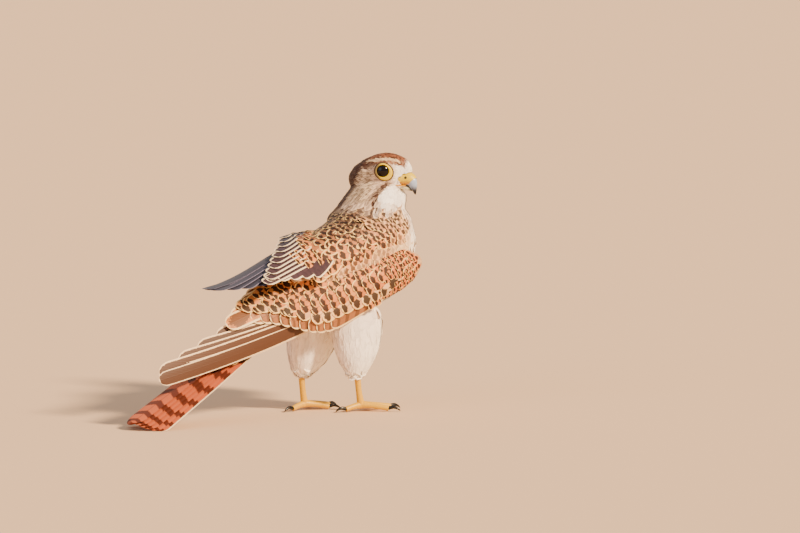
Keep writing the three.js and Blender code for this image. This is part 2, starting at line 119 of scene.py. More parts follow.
floor_reach = 9.0
floor_corners = [(x * floor_reach, y * floor_reach, 0) for x, y in ((-1, -1), (1, -1), (1, 1), (-1, 1))]
floor_mesh = bpy.data.meshes.new("floor")
floor_mesh.from_pydata(floor_corners, [], [(0, 1, 2, 3)])
floor = bpy.data.objects.new("floor", floor_mesh)
bpy.context.scene.collection.objects.link(floor)
floor_material, _, floor_shader = new_material("floor")
floor_shader.inputs["Base Color"].default_value = (*tint("e0bf9c"), 1)
floor_shader.inputs["Roughness"].default_value = 0.9
floor_mesh.materials.append(floor_material)


def sun_light(name, aside, height, toward_camera, power, spread, code):
    data = bpy.data.lights.new(name, "SUN")
    data.energy = power
    data.angle = math.radians(spread)
    data.color = tint(code)
    lamp = bpy.data.objects.new(name, data)
    source = camera_right * aside + Vector((0, 0, height)) + camera_back * toward_camera
    lamp.rotation_mode = "QUATERNION"
    lamp.rotation_quaternion = (-source).to_track_quat("-Z", "Y")
    bpy.context.scene.collection.objects.link(lamp)


sun_light("key", 1.0, 0.8, 0.75, 8.6, 9, "ffe0b8")
sun_light("fill", -1.0, 0.5, 1.0, 0.7, 40, "dfe4ff")
sky = bpy.data.worlds.new("sky")
sky.use_nodes = True
sky_light = sky.node_tree.nodes["Background"]
sky_light.inputs["Color"].default_value = (*tint("f3e6dc"), 1)
sky_light.inputs["Strength"].default_value = 0.7
bpy.context.scene.world = sky


# The body under the feathers: head, neck, trunk and thighs in one skin without seams, a little
# inside the solids, so that the coat ends where they end.
def place_piece(piece, slot, *nodes):
    bpy.context.scene.collection.objects.link(piece)
    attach(piece, "root")
    if nodes:
        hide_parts(*nodes)


def finished_mesh(piece):
    depsgraph = bpy.context.evaluated_depsgraph_get()
    return bpy.data.meshes.new_from_object(piece.evaluated_get(depsgraph))


def shade_smooth(mesh):
    mesh.polygons.foreach_set("use_smooth", [True] * len(mesh.polygons))


def tree_of(mesh):
    points = [vertex.co / MM for vertex in mesh.vertices]
    return BVHTree.FromPolygons(points, [list(polygon.vertices) for polygon in mesh.polygons])


coat_depth = 0.9
skin_grain = 1.1
skin_nodes = ["head", "neck", "torso", "thigh_right", "thigh_left"]
skin_points = []
skin_faces = []
for name in skin_nodes:
    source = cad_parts[name].data
    first = len(skin_points)
    skin_points += [vertex.co.copy() for vertex in source.vertices]
    skin_faces += [[first + index for index in polygon.vertices] for polygon in source.polygons]
raw_mesh = bpy.data.meshes.new("skin_raw")
raw_mesh.from_pydata(skin_points, [], skin_faces)
raw_skin = bpy.data.objects.new("skin_raw", raw_mesh)
bpy.context.scene.collection.objects.link(raw_skin)
remesh = raw_skin.modifiers.new("remesh", "REMESH")
remesh.mode = "VOXEL"
remesh.voxel_size = skin_grain * MM
relax = raw_skin.modifiers.new("relax", "SMOOTH")
relax.factor = 0.5
relax.iterations = 9
inset = raw_skin.modifiers.new("inset", "DISPLACE")
inset.strength = -coat_depth * MM
inset.mid_level = 0
skin_mesh = finished_mesh(raw_skin)
bpy.data.objects.remove(raw_skin)
skin_mesh.name = "skin"
skin = bpy.data.objects.new("skin", skin_mesh)
place_piece(skin, "body_feathers", *skin_nodes)
shade_smooth(skin_mesh)
skin_tree = tree_of(skin_mesh)

# The markings over skin and coat: white throat, breast and trousers, a buff mantle with dark spots,
# a streaked rufous crown under a dark nape, a pale brow and a dark stripe below the eye. The nape's
# dark is partly its own streaks and partly painted shade on the back of head and neck, and the dark
# brown of the rump between the wings is painted shadow.
cream = np.array(tint("f8dfb4"))
white = np.array(tint("fffaf3"))
buff = np.array(tint("f0ac64"))
rufous = np.array(tint("cc6527"))
crown_brown = np.array(tint("a0603f"))
cheek_buff = np.array(tint("efcfb2"))
brown = np.array(tint("43200f"))
# Painted shade: the dark brownish grey laid on the back of head and neck.
nape_painted_shade = np.array(tint("46302a"))
# Painted shadow: the dark brown of the rump and the tail's base, which lie in shadow between the wings.
rump_painted_shadow = np.array(tint("5a3421"))


def ramp(low, high, value):
    t = min(max((value - low) / (high - low), 0), 1)
    return t * t * (3 - 2 * t)


def blend(first, second, amount):
    return first * (1 - amount) + second * amount


def head_axes(point):
    local = point - head_place
    return local.dot(head_forward), local.dot(head_right), local.dot(head_up)


brow_height, brow_bow = 9.9, 0.017
patch_ahead, patch_height = -9.4, 5.0
moustache_depths = [6, 11.5, 15, 21, 26]
moustache_ahead = [7.5, 3.8, 1.3, 1.5, 0.5]
face_point_ahead, face_point_height = 22, -4
streaks_round_face, streaks_across_crown = 78, 2.6


def head_plumage(forward, aside, up):
    """Ground colour and marks of the head; its streaks run backwards from a point before the face."""
    side = abs(aside)
    brow_line = brow_height - brow_bow * (forward - 1) ** 2
    crown = ramp(-3.6, -1.8, up - brow_line) * ramp(19, 15.5, forward)
    ground = blend(cheek_buff, crown_brown, crown)
    streak = 0.45 + 0.4 * crown
    brow = ramp(1.5, 0.5, abs(up - brow_line)) * ramp(-14, -9, forward) * ramp(3, 5, side)
    ground = blend(ground, cream, brow * 0.75)
    streak *= 1 - 0.8 * brow
    front = ramp(8, 12.5, forward) * (1 - crown)
    ground = blend(ground, white, front * 0.95)
    streak *= 1 - front
    patch_far = math.hypot((forward - patch_ahead) / 1.6, up - patch_height)
    behind_eye = ramp(3.4, 1.8, patch_far) * ramp(3, 6, side)
    ground = blend(ground, brown, behind_eye * 0.9)
    cheek = ramp(0, -5, forward) * ramp(3, 0, up) * (1 - ramp(-16, -22, up))
    ground = blend(ground, blend(cream, rufous, 0.12), cheek * 0.75)
    streak = max(streak, 0.6 * cheek)
    line = np.interp(-up, moustache_depths, moustache_ahead)
    moustache = ramp(2.9, 1.2, abs(forward - line)) * ramp(-5, -8, up) * ramp(3, 6, side)
    ground = blend(ground, brown, moustache * 0.7)
    streak = max(streak, 0.95 * moustache)
    throat = ramp(1.8, 3.6, forward - line) * ramp(-7.5, -10, up)
    ground = blend(ground, white, throat)
    streak *= 1 - throat
    # The back of the head gets painted shade over its own streaks.
    nape_line = -14.8 + 0.5 * up
    shaded_nape = ramp(nape_line + 2.5, nape_line - 2.5, forward)
    ground = blend(ground, nape_painted_shade, shaded_nape * 0.95)
    streak = max(streak, 0.75 * shaded_nape)
    round_face = math.atan2(up - face_point_height, face_point_ahead - forward)
    lane = streaks_round_face * round_face + streaks_across_crown * side + 2 * math.sin(0.45 * forward)
    ground = blend(ground, brown, ramp(-0.2, 0.6, math.sin(lane)) * streak * 0.95)
    return ground, (streak, 0, 0)


def body_plumage(place, normal):
    """Ground colour and marks of neck, trunk and thighs at a place measured from the trunk."""
    x, _, z = place
    back = ramp(-0.3, 0.25, normal.z * 0.85 - normal.x * 0.45)
    neck = ramp(132, 150, z)
    front = ramp(0.35, 0.8, normal.x) * ramp(100, 118, z)
    ground = blend(cream, blend(buff, rufous, 0.6), back)
    diamond = 0.95 * max(back, neck)
    streak = 0.1 * (1 - back) * ramp(95, 112, z) + 0.5 * neck
    ground = blend(ground, blend(cream, rufous, 0.45), neck * 0.8)
    # Painted shade on the back of the neck, the side that faces away from the light.
    shaded_nape = ramp(-0.1, -0.55, normal.x) * ramp(126, 140, z)
    ground = blend(ground, nape_painted_shade, shaded_nape * 0.9)
    ground = blend(ground, white, front * 0.9)
    streak *= 1 - front
    diamond *= 1 - front
    # Painted shadow on the rump, between the wings.
    rump_shadow = ramp(-30, -48, x) * ramp(-0.3, 0.2, normal.z)
    ground = blend(ground, rump_painted_shadow, rump_shadow * 0.85)
    below = ramp(98, 84, z) * (1 - rump_shadow)
    ground = blend(ground, white, below * 0.85)
    diamond *= 1 - ramp(92, 80, z)
    streak *= 1 - below
    return ground, (streak, diamond, 0)


def plumage(point, normal):
    forward, aside, up = head_axes(point)
    body_ground, body_marks = body_plumage(point - trunk_origin, normal)
    share = ramp(-28, -19, up)
    if share <= 0:
        return body_ground, body_marks
    head_ground, head_marks = head_plumage(forward, aside, up)
    marks = tuple(b * (1 - share) + h * share for b, h in zip(body_marks, head_marks))
    return blend(body_ground, head_ground, share), marks


# Every feather is a thin closed vane with its own small map for its marks, and a second map,
# OFBake, that puts it as a small patch: at its root on the unwrapped skin for the body's coats, and
# on a plain layout of wing and tail for theirs.
patch = 0.003
floor_gap = 0.05


def mesh_piece(name, points, faces, material):
    mesh = bpy.data.meshes.new(name)
    mesh.from_pydata(points, [], faces)
    shade_smooth(mesh)
    mesh.materials.append(material)
    return bpy.data.objects.new(name, mesh)


def paint_points(mesh, title, colours):
    layer = mesh.attributes.new(title, "FLOAT_COLOR", "POINT")
    layer.data.foreach_set("color", np.array(colours, dtype=np.float32).ravel())


class Coat:
    """Feathers gathered into one piece, each with its ground colour, its marks and its two maps."""

    def __init__(self, name, material):
        self.name = name
        self.material = material
        self.points = []
        self.faces = []
        self.vane = []
        self.baked = []
        self.ground = []
        self.marks = []

    def add(self, rows, ground, marks, root_map):
        """rows is a grid of points along the vane, each row from one edge to the other."""
        count = len(rows)
        columns = len(rows[0])
        first = len(self.points)
        top = {}
        under = {}
        for r, row in enumerate(rows):
            for c, (above, below) in enumerate(row):
                u = c / (columns - 1)
                v = r / (count - 1)
                edge = r in (0, count - 1) or c in (0, columns - 1)
                for level, book in ((above, top), (below, under)):
                    if book is under and edge:
                        book[r, c] = top[r, c]
                        continue
                    book[r, c] = len(self.points)
                    self.points.append(level)
                    self.vane.append((u, v))
                    self.baked.append((
                        root_map[0] + patch * (u - 0.5), root_map[1] + patch * (v - 0.5),
                    ))
        for r in range(count - 1):
            for c in range(columns - 1):
                self.faces.append((top[r, c], top[r, c + 1], top[r + 1, c + 1], top[r + 1, c]))
                self.faces.append((under[r + 1, c], under[r + 1, c + 1], under[r, c + 1], under[r, c]))
        made = len(self.points) - first
        self.ground += [ground] * made
        self.marks += [marks] * made

    def sharpen_edges(self, mesh):
        """Upper and under faces alternate, and the line where they meet is set sharp."""
        edges = np.empty(len(mesh.loops), dtype=np.int32)
        mesh.loops.foreach_get("edge_index", edges)
        by_face = edges.reshape(-1, 4)
        upper = np.bincount(by_face[0::2].ravel(), minlength=len(mesh.edges))
        under = np.bincount(by_face[1::2].ravel(), minlength=len(mesh.edges))
        sharp = mesh.attributes.new("sharp_edge", "BOOLEAN", "EDGE")
        sharp.data.foreach_set("value", (upper > 0) & (under > 0))

    def build(self, slot, *nodes):
        over_floor = [(x, y, max(z, floor_gap * MM)) for x, y, z in self.points]
        piece = mesh_piece(self.name, over_floor, self.faces, self.material)
        mesh = piece.data
        corner = np.empty(len(mesh.loops), dtype=np.int32)
        mesh.loops.foreach_get("vertex_index", corner)
        for title, values in (("Vane", self.vane), ("OFBake", self.baked)):
            layer = mesh.uv_layers.new(name=title)
            layer.data.foreach_set("uv", np.array(values, dtype=np.float32)[corner].ravel())
        paint_points(mesh, "Ground", self.ground)
        paint_points(mesh, "Marks", self.marks)
        self.sharpen_edges(mesh)
        place_piece(piece, slot, *nodes)


# One node group draws a vane's marks from its own map: shaft streak, dark spots, bars, a pale
# rim and fine barbs. Every feather material uses it with its own colours and counts.
def new_group(name, *sockets):
    """A node group whose sockets are given as direction, kind and titles."""
    group = bpy.data.node_groups.new(name, "ShaderNodeTree")
    for direction, kind, titles in sockets:
        for title in titles:
            group.interface.new_socket(name=title, in_out=direction, socket_type=kind)
    return group


marks_group = new_group(
    "vane_marks",
    ("INPUT", "NodeSocketColor", ("Ground", "Dark", "Rim colour")),
    ("INPUT", "NodeSocketVector", ("Vane",)),
    ("INPUT", "NodeSocketFloat", ("Streak", "Diamond", "Bars", "Bar count")),
    ("INPUT", "NodeSocketFloat", ("Rim", "Rim width", "Rim end", "Chance")),
    ("OUTPUT", "NodeSocketColor", ("Color",)),
    ("OUTPUT", "NodeSocketFloat", ("Height",)),
)


class Wiring:
    """Short calls for adding and joining nodes in one tree."""

    def __init__(self, tree):
        self.tree = tree

    def node(self, kind, **settings):
        made = self.tree.nodes.new(kind)
        for key, value in settings.items():
            setattr(made, key, value)
        return made

    def feed(self, socket, value):
        if isinstance(value, bpy.types.NodeSocket):
            self.tree.links.new(value, socket)
        else:
            socket.default_value = value

    def ends(self):
        """Where a group's inputs come in and where its outputs leave."""
        return self.node("NodeGroupInput").outputs, self.node("NodeGroupOutput").inputs

    def group(self, tree, values):
        made = self.node("ShaderNodeGroup", node_tree=tree)
        for title, value in values.items():
            self.feed(made.inputs[title], value)
        return made.outputs

    def math(self, operation, *values):
        made = self.node("ShaderNodeMath", operation=operation)
        for index, value in enumerate(values):
            self.feed(made.inputs[index], value)
        return made.outputs[0]

    def line(self, value, slope, start):
        """value times slope, plus start."""
        return self.math("MULTIPLY_ADD", value, slope, start)

    def step(self, value, low, high, start=0.0, end=1.0):
        made = self.node("ShaderNodeMapRange", interpolation_type="SMOOTHSTEP")
        for title, given in (("Value", value), ("From Min", low), ("From Max", high),
                             ("To Min", start), ("To Max", end)):
            self.feed(made.inputs[title], given)
        return made.outputs["Result"]

    def mix(self, amount, first, second):
        made = self.node("ShaderNodeMix", data_type="RGBA")
        colour_inputs = [socket for socket in made.inputs if socket.type == "RGBA"]
        self.feed(made.inputs["Factor"], amount)
        self.feed(colour_inputs[0], first)
        self.feed(colour_inputs[1], second)
        return next(socket for socket in made.outputs if socket.type == "RGBA")

    def lit(self, colour, strength):
        made = self.node("ShaderNodeVectorMath", operation="SCALE")
        self.feed(made.inputs[0], colour)
        self.feed(made.inputs["Scale"], strength)
        return made.outputs[0]

    def noise(self, scale, detail=2.0):
        made = self.node("ShaderNodeTexNoise")
        self.feed(made.inputs["Vector"], self.node("ShaderNodeTexCoord").outputs["Object"])
        self.feed(made.inputs["Scale"], scale)
        self.feed(made.inputs["Detail"], detail)
        return made.outputs["Fac"]

    def relief(self, shader, height, strength, distance):
        bump = self.node("ShaderNodeBump")
        bump.inputs["Strength"].default_value = strength
        bump.inputs["Distance"].default_value = distance
        self.feed(bump.inputs["Height"], height)
        self.feed(shader.inputs["Normal"], bump.outputs[0])


def draw_vane_marks():
    """across is 0 on the shaft and 1 on the edges, and along is 0 at the root and 1 at the tip."""
    w = Wiring(marks_group)
    entry, leave = w.ends()
    parts = w.node("ShaderNodeSeparateXYZ")
    w.feed(parts.inputs[0], entry["Vane"])
    across = w.math("MULTIPLY", w.math("ABSOLUTE", w.math("SUBTRACT", parts.outputs[0], 0.5)), 2.0)
    wander = w.math("SUBTRACT", w.noise(900.0), 0.5)
    blotch = w.math("SUBTRACT", w.noise(420.0), 0.5)
    moved = w.line(w.math("SUBTRACT", entry["Chance"], 0.5), 0.1, parts.outputs[1])
    along = w.line(wander, 0.14, moved)
    sideways = w.line(blotch, 0.7, w.line(wander, 0.3, across))

    streak = w.math("MULTIPLY", w.step(sideways, 0.18, 0.46, 1.0, 0.0), w.step(along, 0.05, 0.25))
    streak = w.math("MULTIPLY", streak, w.step(along, 0.86, 0.97, 1.0, 0.0))

    def dark_spot(middle, length, width):
        ahead = w.math("DIVIDE", w.math("ABSOLUTE", w.math("SUBTRACT", along, middle)), length)
        reach_out = w.math("ADD", ahead, w.math("DIVIDE", sideways, width))
        return w.step(reach_out, 0.86, 1.16, 1.0, 0.0)

    diamond = w.math("MAXIMUM", dark_spot(0.79, 0.16, 1.15), dark_spot(0.38, 0.15, 1.1))
    turns = w.math("MULTIPLY", entry["Bar count"], math.tau)
    swept = w.math("SUBTRACT", w.line(wander, 0.02, moved), w.math("MULTIPLY", across, 0.03))
    bars = w.step(w.math("SINE", w.math("MULTIPLY", swept, turns)), 0.1, 0.6)

    shaft = w.step(across, 0.03, 0.09, 1.0, 0.0)
    marked = w.math("MAXIMUM", w.math("MAXIMUM", entry["Streak"], entry["Diamond"]), entry["Bars"])
    dark = w.math("MULTIPLY", shaft, w.line(marked, 0.36, 0.03))
    for mark, weight in ((streak, "Streak"), (diamond, "Diamond"), (bars, "Bars")):
        dark = w.math("MAXIMUM", dark, w.math("MULTIPLY", mark, entry[weight]))

    def rim_from(place, width):
        return w.step(place, w.line(width, -1.3, 1.0), w.line(width, -0.8, 1.0))

    rim_side = rim_from(w.line(wander, 0.12, across), entry["Rim width"])
    rim_end = rim_from(parts.outputs[1], entry["Rim end"])
    rim = w.math("MULTIPLY", w.math("MAXIMUM", rim_side, rim_end), entry["Rim"])

    ground = w.lit(entry["Ground"], w.line(entry["Chance"], 0.26, 0.87))
    colour = w.mix(dark, ground, entry["Dark"])
    colour = w.mix(rim, colour, entry["Rim colour"])
    barb_run = w.line(parts.outputs[1], 130.0, w.math("MULTIPLY", across, -30.0))
    barbs = w.line(w.math("SINE", barb_run), 0.5, 0.5)
    w.feed(leave["Color"], w.mix(w.math("MULTIPLY", barbs, 0.04), colour, entry["Dark"]))
    w.feed(leave["Height"], w.line(barbs, 0.5, shaft))


draw_vane_marks()


def feather_material(name, dark_code, rim_code, bar_count=4.0, rim_width=0.2, rim_end=0.1,
                     roughness=0.6):
    """A feather's colours on the drawn marks; widths of rims are shares of the vane."""
    material, tree, shader = new_material(name)
    w = Wiring(tree)
    ground = w.node("ShaderNodeAttribute", attribute_name="Ground")
    marks = w.node("ShaderNodeAttribute", attribute_name="Marks")
    weights = w.node("ShaderNodeSeparateColor")
    w.feed(weights.inputs[0], marks.outputs["Color"])
    drawn = w.group(marks_group, {
        "Ground": ground.outputs["Color"], "Chance": ground.outputs["Alpha"],
        "Dark": (*tint(dark_code), 1), "Rim colour": (*tint(rim_code), 1),
        "Bar count": bar_count, "Rim width": rim_width, "Rim end": rim_end,
        "Vane": w.node("ShaderNodeUVMap", uv_map="Vane").outputs[0],
        "Streak": weights.outputs[0], "Diamond": weights.outputs[1], "Bars": weights.outputs[2],
        "Rim": marks.outputs["Alpha"],
    })
    w.feed(shader.inputs["Base Color"], drawn["Color"])
    w.relief(shader, drawn["Height"], 0.25, 0.0002)
    shader.inputs["Roughness"].default_value = roughness
    shader.inputs["Specular IOR Level"].default_value = 0.25
    shader.inputs["Sheen Weight"].default_value = 0.05
    shader.inputs["Sheen Roughness"].default_value = 0.5
    return material


coat_material = feather_material("body_feather", "1e0b04", "fdd88c", rim_width=0.22, rim_end=0.08)

# The skin shows only between feathers, so it carries the same ground colours, painted on its
# points. A second node group gives it, the wings' down and the eyes a soft mottling.
mottling_group = new_group(
    "mottling",
    ("INPUT", "NodeSocketColor", ("First", "Second")),
    ("INPUT", "NodeSocketFloat", ("Scale", "Detail", "Amount")),
    ("OUTPUT", "NodeSocketColor", ("Color",)),
)


def draw_mottling():
    w = Wiring(mottling_group)
    entry, leave = w.ends()
    share = w.math("MULTIPLY", w.noise(entry["Scale"], entry["Detail"]), entry["Amount"])
    w.feed(leave["Color"], w.mix(share, entry["First"], entry["Second"]))


draw_mottling()
down_brown = np.array(tint("6b4a35"))
skin_colours = []
for vertex in skin_mesh.vertices:
    ground, marks = plumage(vertex.co / MM, vertex.normal)
    skin_colours.append((*blend(ground, down_brown, 0.55 * max(marks)), 1.0))
paint_points(skin_mesh, "Ground", skin_colours)
skin_material, down_tree, down_shader = new_material("down")
w = Wiring(down_tree)
mottled = w.group(mottling_group, {
    "First": w.node("ShaderNodeAttribute", attribute_name="Ground").outputs["Color"],
    "Second": (*tint("5a4030"), 1), "Scale": 700.0, "Detail": 4.0, "Amount": 0.06,
})
w.feed(down_shader.inputs["Base Color"], mottled["Color"])
down_shader.inputs["Roughness"].default_value = 0.9
skin_mesh.materials.clear()
skin_mesh.materials.append(skin_material)

# The skin is unwrapped once, and each feather's patch on OFBake lies at its root's place there.
bpy.context.view_layer.objects.active = skin
skin.select_set(True)
bpy.ops.object.mode_set(mode="EDIT")
bpy.ops.mesh.select_all(action="SELECT")
bpy.ops.uv.smart_project(island_margin=0.004)
bpy.ops.object.mode_set(mode="OBJECT")
skin_mesh = skin.data
skin_map = skin_mesh.uv_layers.active.data
root_map_of = {}
for polygon in skin_mesh.polygons:
    corners = [skin_map[loop].uv for loop in polygon.loop_indices]
    root_map_of[polygon.index] = sum(corners, Vector((0, 0))) / len(corners)

# A folded wing is a curved sheet from the bend to the tip that wraps the flank, with a fleshy
# pad along its fore part. The left wing is arched over the back, and its outer face turns up.
wing_length = 242


def smooth_knots(knots, t):
    last = len(knots) - 1
    place = min(max(t, 0) * last, last - 1e-6)
    i = int(place)
    f = place - i
    a, b, c, d = knots[max(i - 1, 0)], knots[i], knots[i + 1], knots[min(i + 2, last)]
    cubic = (2 * a - 5 * b + 4 * c - d) * f * f + (3 * b - a - 3 * c + d) * f ** 3
    return 0.5 * (2 * b + (c - a) * f + cubic)


def wing_sheet(bend, tip, side, tilts, tilted_by, hump, radius_front=40, radius_rear=80):
    start = Vector(bend) + Vector((0, 0, trunk_height))
    chord = Vector(tip) + Vector((0, 0, trunk_height)) - start
    along = chord.normalized()
    outward = Vector((0, side, 0))
    outward = (outward - along * outward.dot(along)).normalized()
    upward = (along.cross(outward) * -side).normalized()
    scale = chord.length / wing_length
    hump_height, hump_at, hump_before, hump_after = hump

    def place(l, q, h):
        """l runs from the bend to the tip, q across the wing towards its upper edge, h outwards."""
        t = min(max(l / chord.length, 0), 1)
        turned = min(t / tilted_by, 1)
        tilt = math.radians(tilts[0] + (tilts[1] - tilts[0]) * turned * turned * (3 - 2 * turned))
        radius = radius_front + (radius_rear - radius_front) * t
        normal = outward * math.cos(tilt) + upward * math.sin(tilt)
        across = upward * math.cos(tilt) - outward * math.sin(tilt)
        from_hump = (t - hump_at) / (hump_before if t < hump_at else hump_after)
        arch = hump_height * math.exp(-from_hump ** 2)
        rise = (radius + h) * math.cos(q / radius) - radius + arch
        aside = (radius + h) * math.sin(q / radius)
        return start + along * (l * scale) + across * aside + normal * rise + trunk_origin

    return place


sheets = {
    "right": wing_sheet((57, -36, 5), (-174, -13, -63), -1, (12, 36), 1, (3, 0.5, 0.35, 0.35)),
    "left": wing_sheet((55, 37, 4), (-141, -36, 2), 1, (26, 114), 0.6, (25.5, 0.38, 0.28, 0.36)),
}
pad_from, pad_to = -7, 150
pad_low = [-11, -18, -19, -19, -13, -3, 10]
pad_high = [13, 22, 28, 33, 34, 32, 24]
pad_top = [-1.5, 0.6, 1, 1, 0.6, -0.6, -1.6]
pad_bottom = [-11, -12, -13, -12, -9.5, -6, -4]
pad_inset = 1.3


def pad_section(l):
    """Middle, half width, middle height and half height of the pad across the wing at l."""
    t = (l - pad_from) / (pad_to - pad_from)
    nose = math.sqrt(1.05 - (1 - min(max(t, 0) / 0.1, 1)) ** 2)
    low, high = smooth_knots(pad_low, t), smooth_knots(pad_high, t)
    top, bottom = smooth_knots(pad_top, t) - pad_inset, smooth_knots(pad_bottom, t)
    return (low + high) / 2, nose * (high - low) / 2, (top + bottom) / 2, nose * (top - bottom) / 2


def wing_pad(name, sheet, mirrored, steps=30, sides=32):
    """The closed pad, with its rings closer together at the bend."""
    points, faces = [], []
    for r in range(steps + 1):
        l = pad_from + (pad_to - pad_from) * (r / steps) ** 1.6
        middle, half, centre, rise = pad_section(l)
        for k in range(sides):
            angle = 2 * math.pi * k / sides * (-1 if mirrored else 1)
            q = middle + half * math.cos(angle) * 0.98
            points.append(sheet(l, q, centre + rise * math.sin(angle)) * MM)
    for r in range(steps):
        for k in range(sides):
            a, b = r * sides + k, r * sides + (k + 1) % sides
            faces.append((a, a + sides, b + sides, b))
    faces.append(tuple(range(sides)))
    faces.append(tuple(steps * sides + k for k in range(sides))[::-1])
    return mesh_piece(name, points, faces, under_material)


under_material, under_tree, under_shader = new_material("wing_down")
w = Wiring(under_tree)
mottled = w.group(mottling_group, {
    "First": (*tint("8a5a3c"), 1), "Second": (*tint("e9c394"), 1),
    "Scale": 420.0, "Detail": 4.0, "Amount": 1.0,
})
w.feed(under_shader.inputs["Base Color"], mottled["Color"])
under_shader.inputs["Roughness"].default_value = 0.9
pads = {}
for label, sheet in sheets.items():
    pads[label] = wing_pad(f"wing_{label}_pad", sheet, label == "left")
    place_piece(pads[label], "wing_feathers", f"wing_{label}")

# The contour feathers over head, neck, trunk and thighs are soft vanes rooted in the skin. They lie
# from the bill backwards and down, smallest on the face and longest on the mantle, and keep clear
# of the bare eye rings. Sizes are spacing, length and half width.
feather_sizes = {
    "breast": np.array([2.9, 13.5, 4.2]),
    "back": np.array([4.8, 16.5, 5.5]),
    "neck": np.array([3.5, 11.5, 3.6]),
    "thigh": np.array([2.1, 14.0, 3.3]),
    "crown": np.array([1.35, 4.6, 1.0]),
    "face": np.array([0.95, 2.5, 0.65]),
}
head_way_from = (22, 0, -4)
neck_way = Vector((-0.42, 0, -0.9))
trunk_way = Vector((-0.92, 0, -0.38))
leg_way = Vector((-0.1, 0, -1))
contour_shape = [0.35, 0.82, 1.0, 0.95, 0.72, 0.1]
leg_lines = (((6, -13, 84), (13, -15.5, 27)), ((-8, 13, 80), (-15, 17, 27)))


def leg_line_distance(place):
    nearest = 1e9
    for hip, ankle in leg_lines:
        a, b = Vector(hip), Vector(ankle)
        t = min(max((place - a).dot(b - a) / (b - a).length_squared, 0), 1)
        nearest = min(nearest, (place - a.lerp(b, t)).length)
    return nearest


def near_leg(place, full_height):
    return ramp(84, full_height, place.z) * ramp(36, 26, leg_line_distance(place))


def lie(point, normal):
    """The way a feather rooted here points, along the skin."""
    place = point - trunk_origin
    head_way = (point - on_head(*head_way_from)).normalized()
    way = trunk_way.lerp(neck_way, ramp(128, 150, place.z))
    way = way.lerp(head_way, ramp(-24, -10, head_axes(point)[2]))
    way = way.lerp(leg_way, near_leg(place, 68))
    way = way - normal * way.dot(normal)
    if way.length < 1e-3:
        way = Vector((0, 0, -1)) + normal * normal.z
    return way.normalized()


def coat_sizes(point, normal):
    forward, _, up = head_axes(point)
    place = point - trunk_origin
    size = blend(feather_sizes["breast"], feather_sizes["back"], ramp(-0.1, 0.4, normal.z))
    size = blend(size, feather_sizes["neck"], ramp(126, 150, place.z))
    size = blend(size, feather_sizes["thigh"], near_leg(place, 70))
    head_size = blend(feather_sizes["crown"], feather_sizes["face"], ramp(-6, 10, forward))
    return blend(size, head_size, ramp(-24, -13, up))


pad_trees = [tree_of(pad.data) for pad in pads.values()]
wing_trees = [tree_of(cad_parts[name].data) for name in ("wing_right", "wing_left")]


def inside(tree, point):
    found, face_normal, _, _ = tree.find_nearest(point)
    return found is not None and (point - found).dot(face_normal) < 0


def hidden_by_wing(point, normal, gap=2.5, reach=14):
    """True inside a pad, and on the flank where a wing lies close over the skin."""
    if any(inside(tree, point) for tree in pad_trees):
        return True
    covers = [tree.ray_cast(point + normal * gap, normal, reach)[0] is not None for tree in wing_trees]
    return any(covers) and normal.z < 0.3


eye_axis_aside = math.radians(22)
eye_sides = {1: eye_right_centre, -1: eye_left_centre}


def eye_axis(side):
    return head_forward * math.sin(eye_axis_aside) + head_right * (side * math.cos(eye_axis_aside))


def eye_front(side):
    axis = eye_axis(side)
    return (head_forward - axis * head_forward.dot(axis)).normalized()


def ring_reach(side, out):
    """How far the bare ring reaches from the eye's axis, broadest in front and below."""
    broad_way = (eye_front(side) - head_up * 0.8).normalized()
    return 6.1 + 2.1 * max(out.dot(broad_way), 0) ** 1.5


def on_bare_skin(point):
    for side, centre in eye_sides.items():
        offset = point - centre
        axis = eye_axis(side)
        height = offset.dot(axis)
        out = offset - axis * height
        if height > 0 and out.length < ring_reach(side, out.normalized()) + 0.5:
            return True
    forward, aside, up = head_axes(point)
    return forward > 13.4 and abs(aside) < 8 and -12.5 < up < -0.4


class Spread:
    """Takes a place only if it is its own spacing away from all that were taken before."""

    def __init__(self, most):
        self.places = np.empty((most, 3))
        self.count = 0

    def takes(self, spot, spacing):
        apart = ((self.places[:self.count] - spot) ** 2).sum(axis=1)
        if self.count and apart.min() < spacing * spacing:
            return False
        self.places[self.count] = spot
        self.count += 1
        return True


def scatter_roots(seed, tries):
    """Seeded places over the skin. More tries fall on head and neck, where feathers are small."""
    draw = random.Random(seed)
    skin_mesh.calc_loop_triangles()
    index = np.array([tuple(t.vertices) for t in skin_mesh.loop_triangles])
    owners = [t.polygon_index for t in skin_mesh.loop_triangles]
    corners = np.array([vertex.co for vertex in skin_mesh.vertices]) / MM
    normals = np.array([vertex.normal for vertex in skin_mesh.vertices])
    first, second, third = (corners[index[:, k]] for k in range(3))
    areas = np.linalg.norm(np.cross(second - first, third - first), axis=1)
    heights = (first + second + third)[:, 2] / 3 - head_place.z
    weight = areas * np.where(heights > -19, 7.0, np.where(heights > -42, 2.4, 1.0))
    totals = np.cumsum(weight)
    spread = Spread(40000)
    found = []
    for _ in range(tries):
        pick = min(int(np.searchsorted(totals, draw.random() * totals[-1])), len(index) - 1)
        a, b = draw.random(), draw.random()
        if a + b > 1:
            a, b = 1 - a, 1 - b
        trio = corners[index[pick]]
        spot = trio[0] * (1 - a - b) + trio[1] * a + trio[2] * b
        normal = Vector(normals[index[pick]].mean(axis=0)).normalized()
        point = Vector(spot)
        spacing, length, half = coat_sizes(point, normal)
        if spread.takes(spot, spacing):
            found.append((point, normal, owners[pick], length, half, draw.random(), draw.random()))
    return found


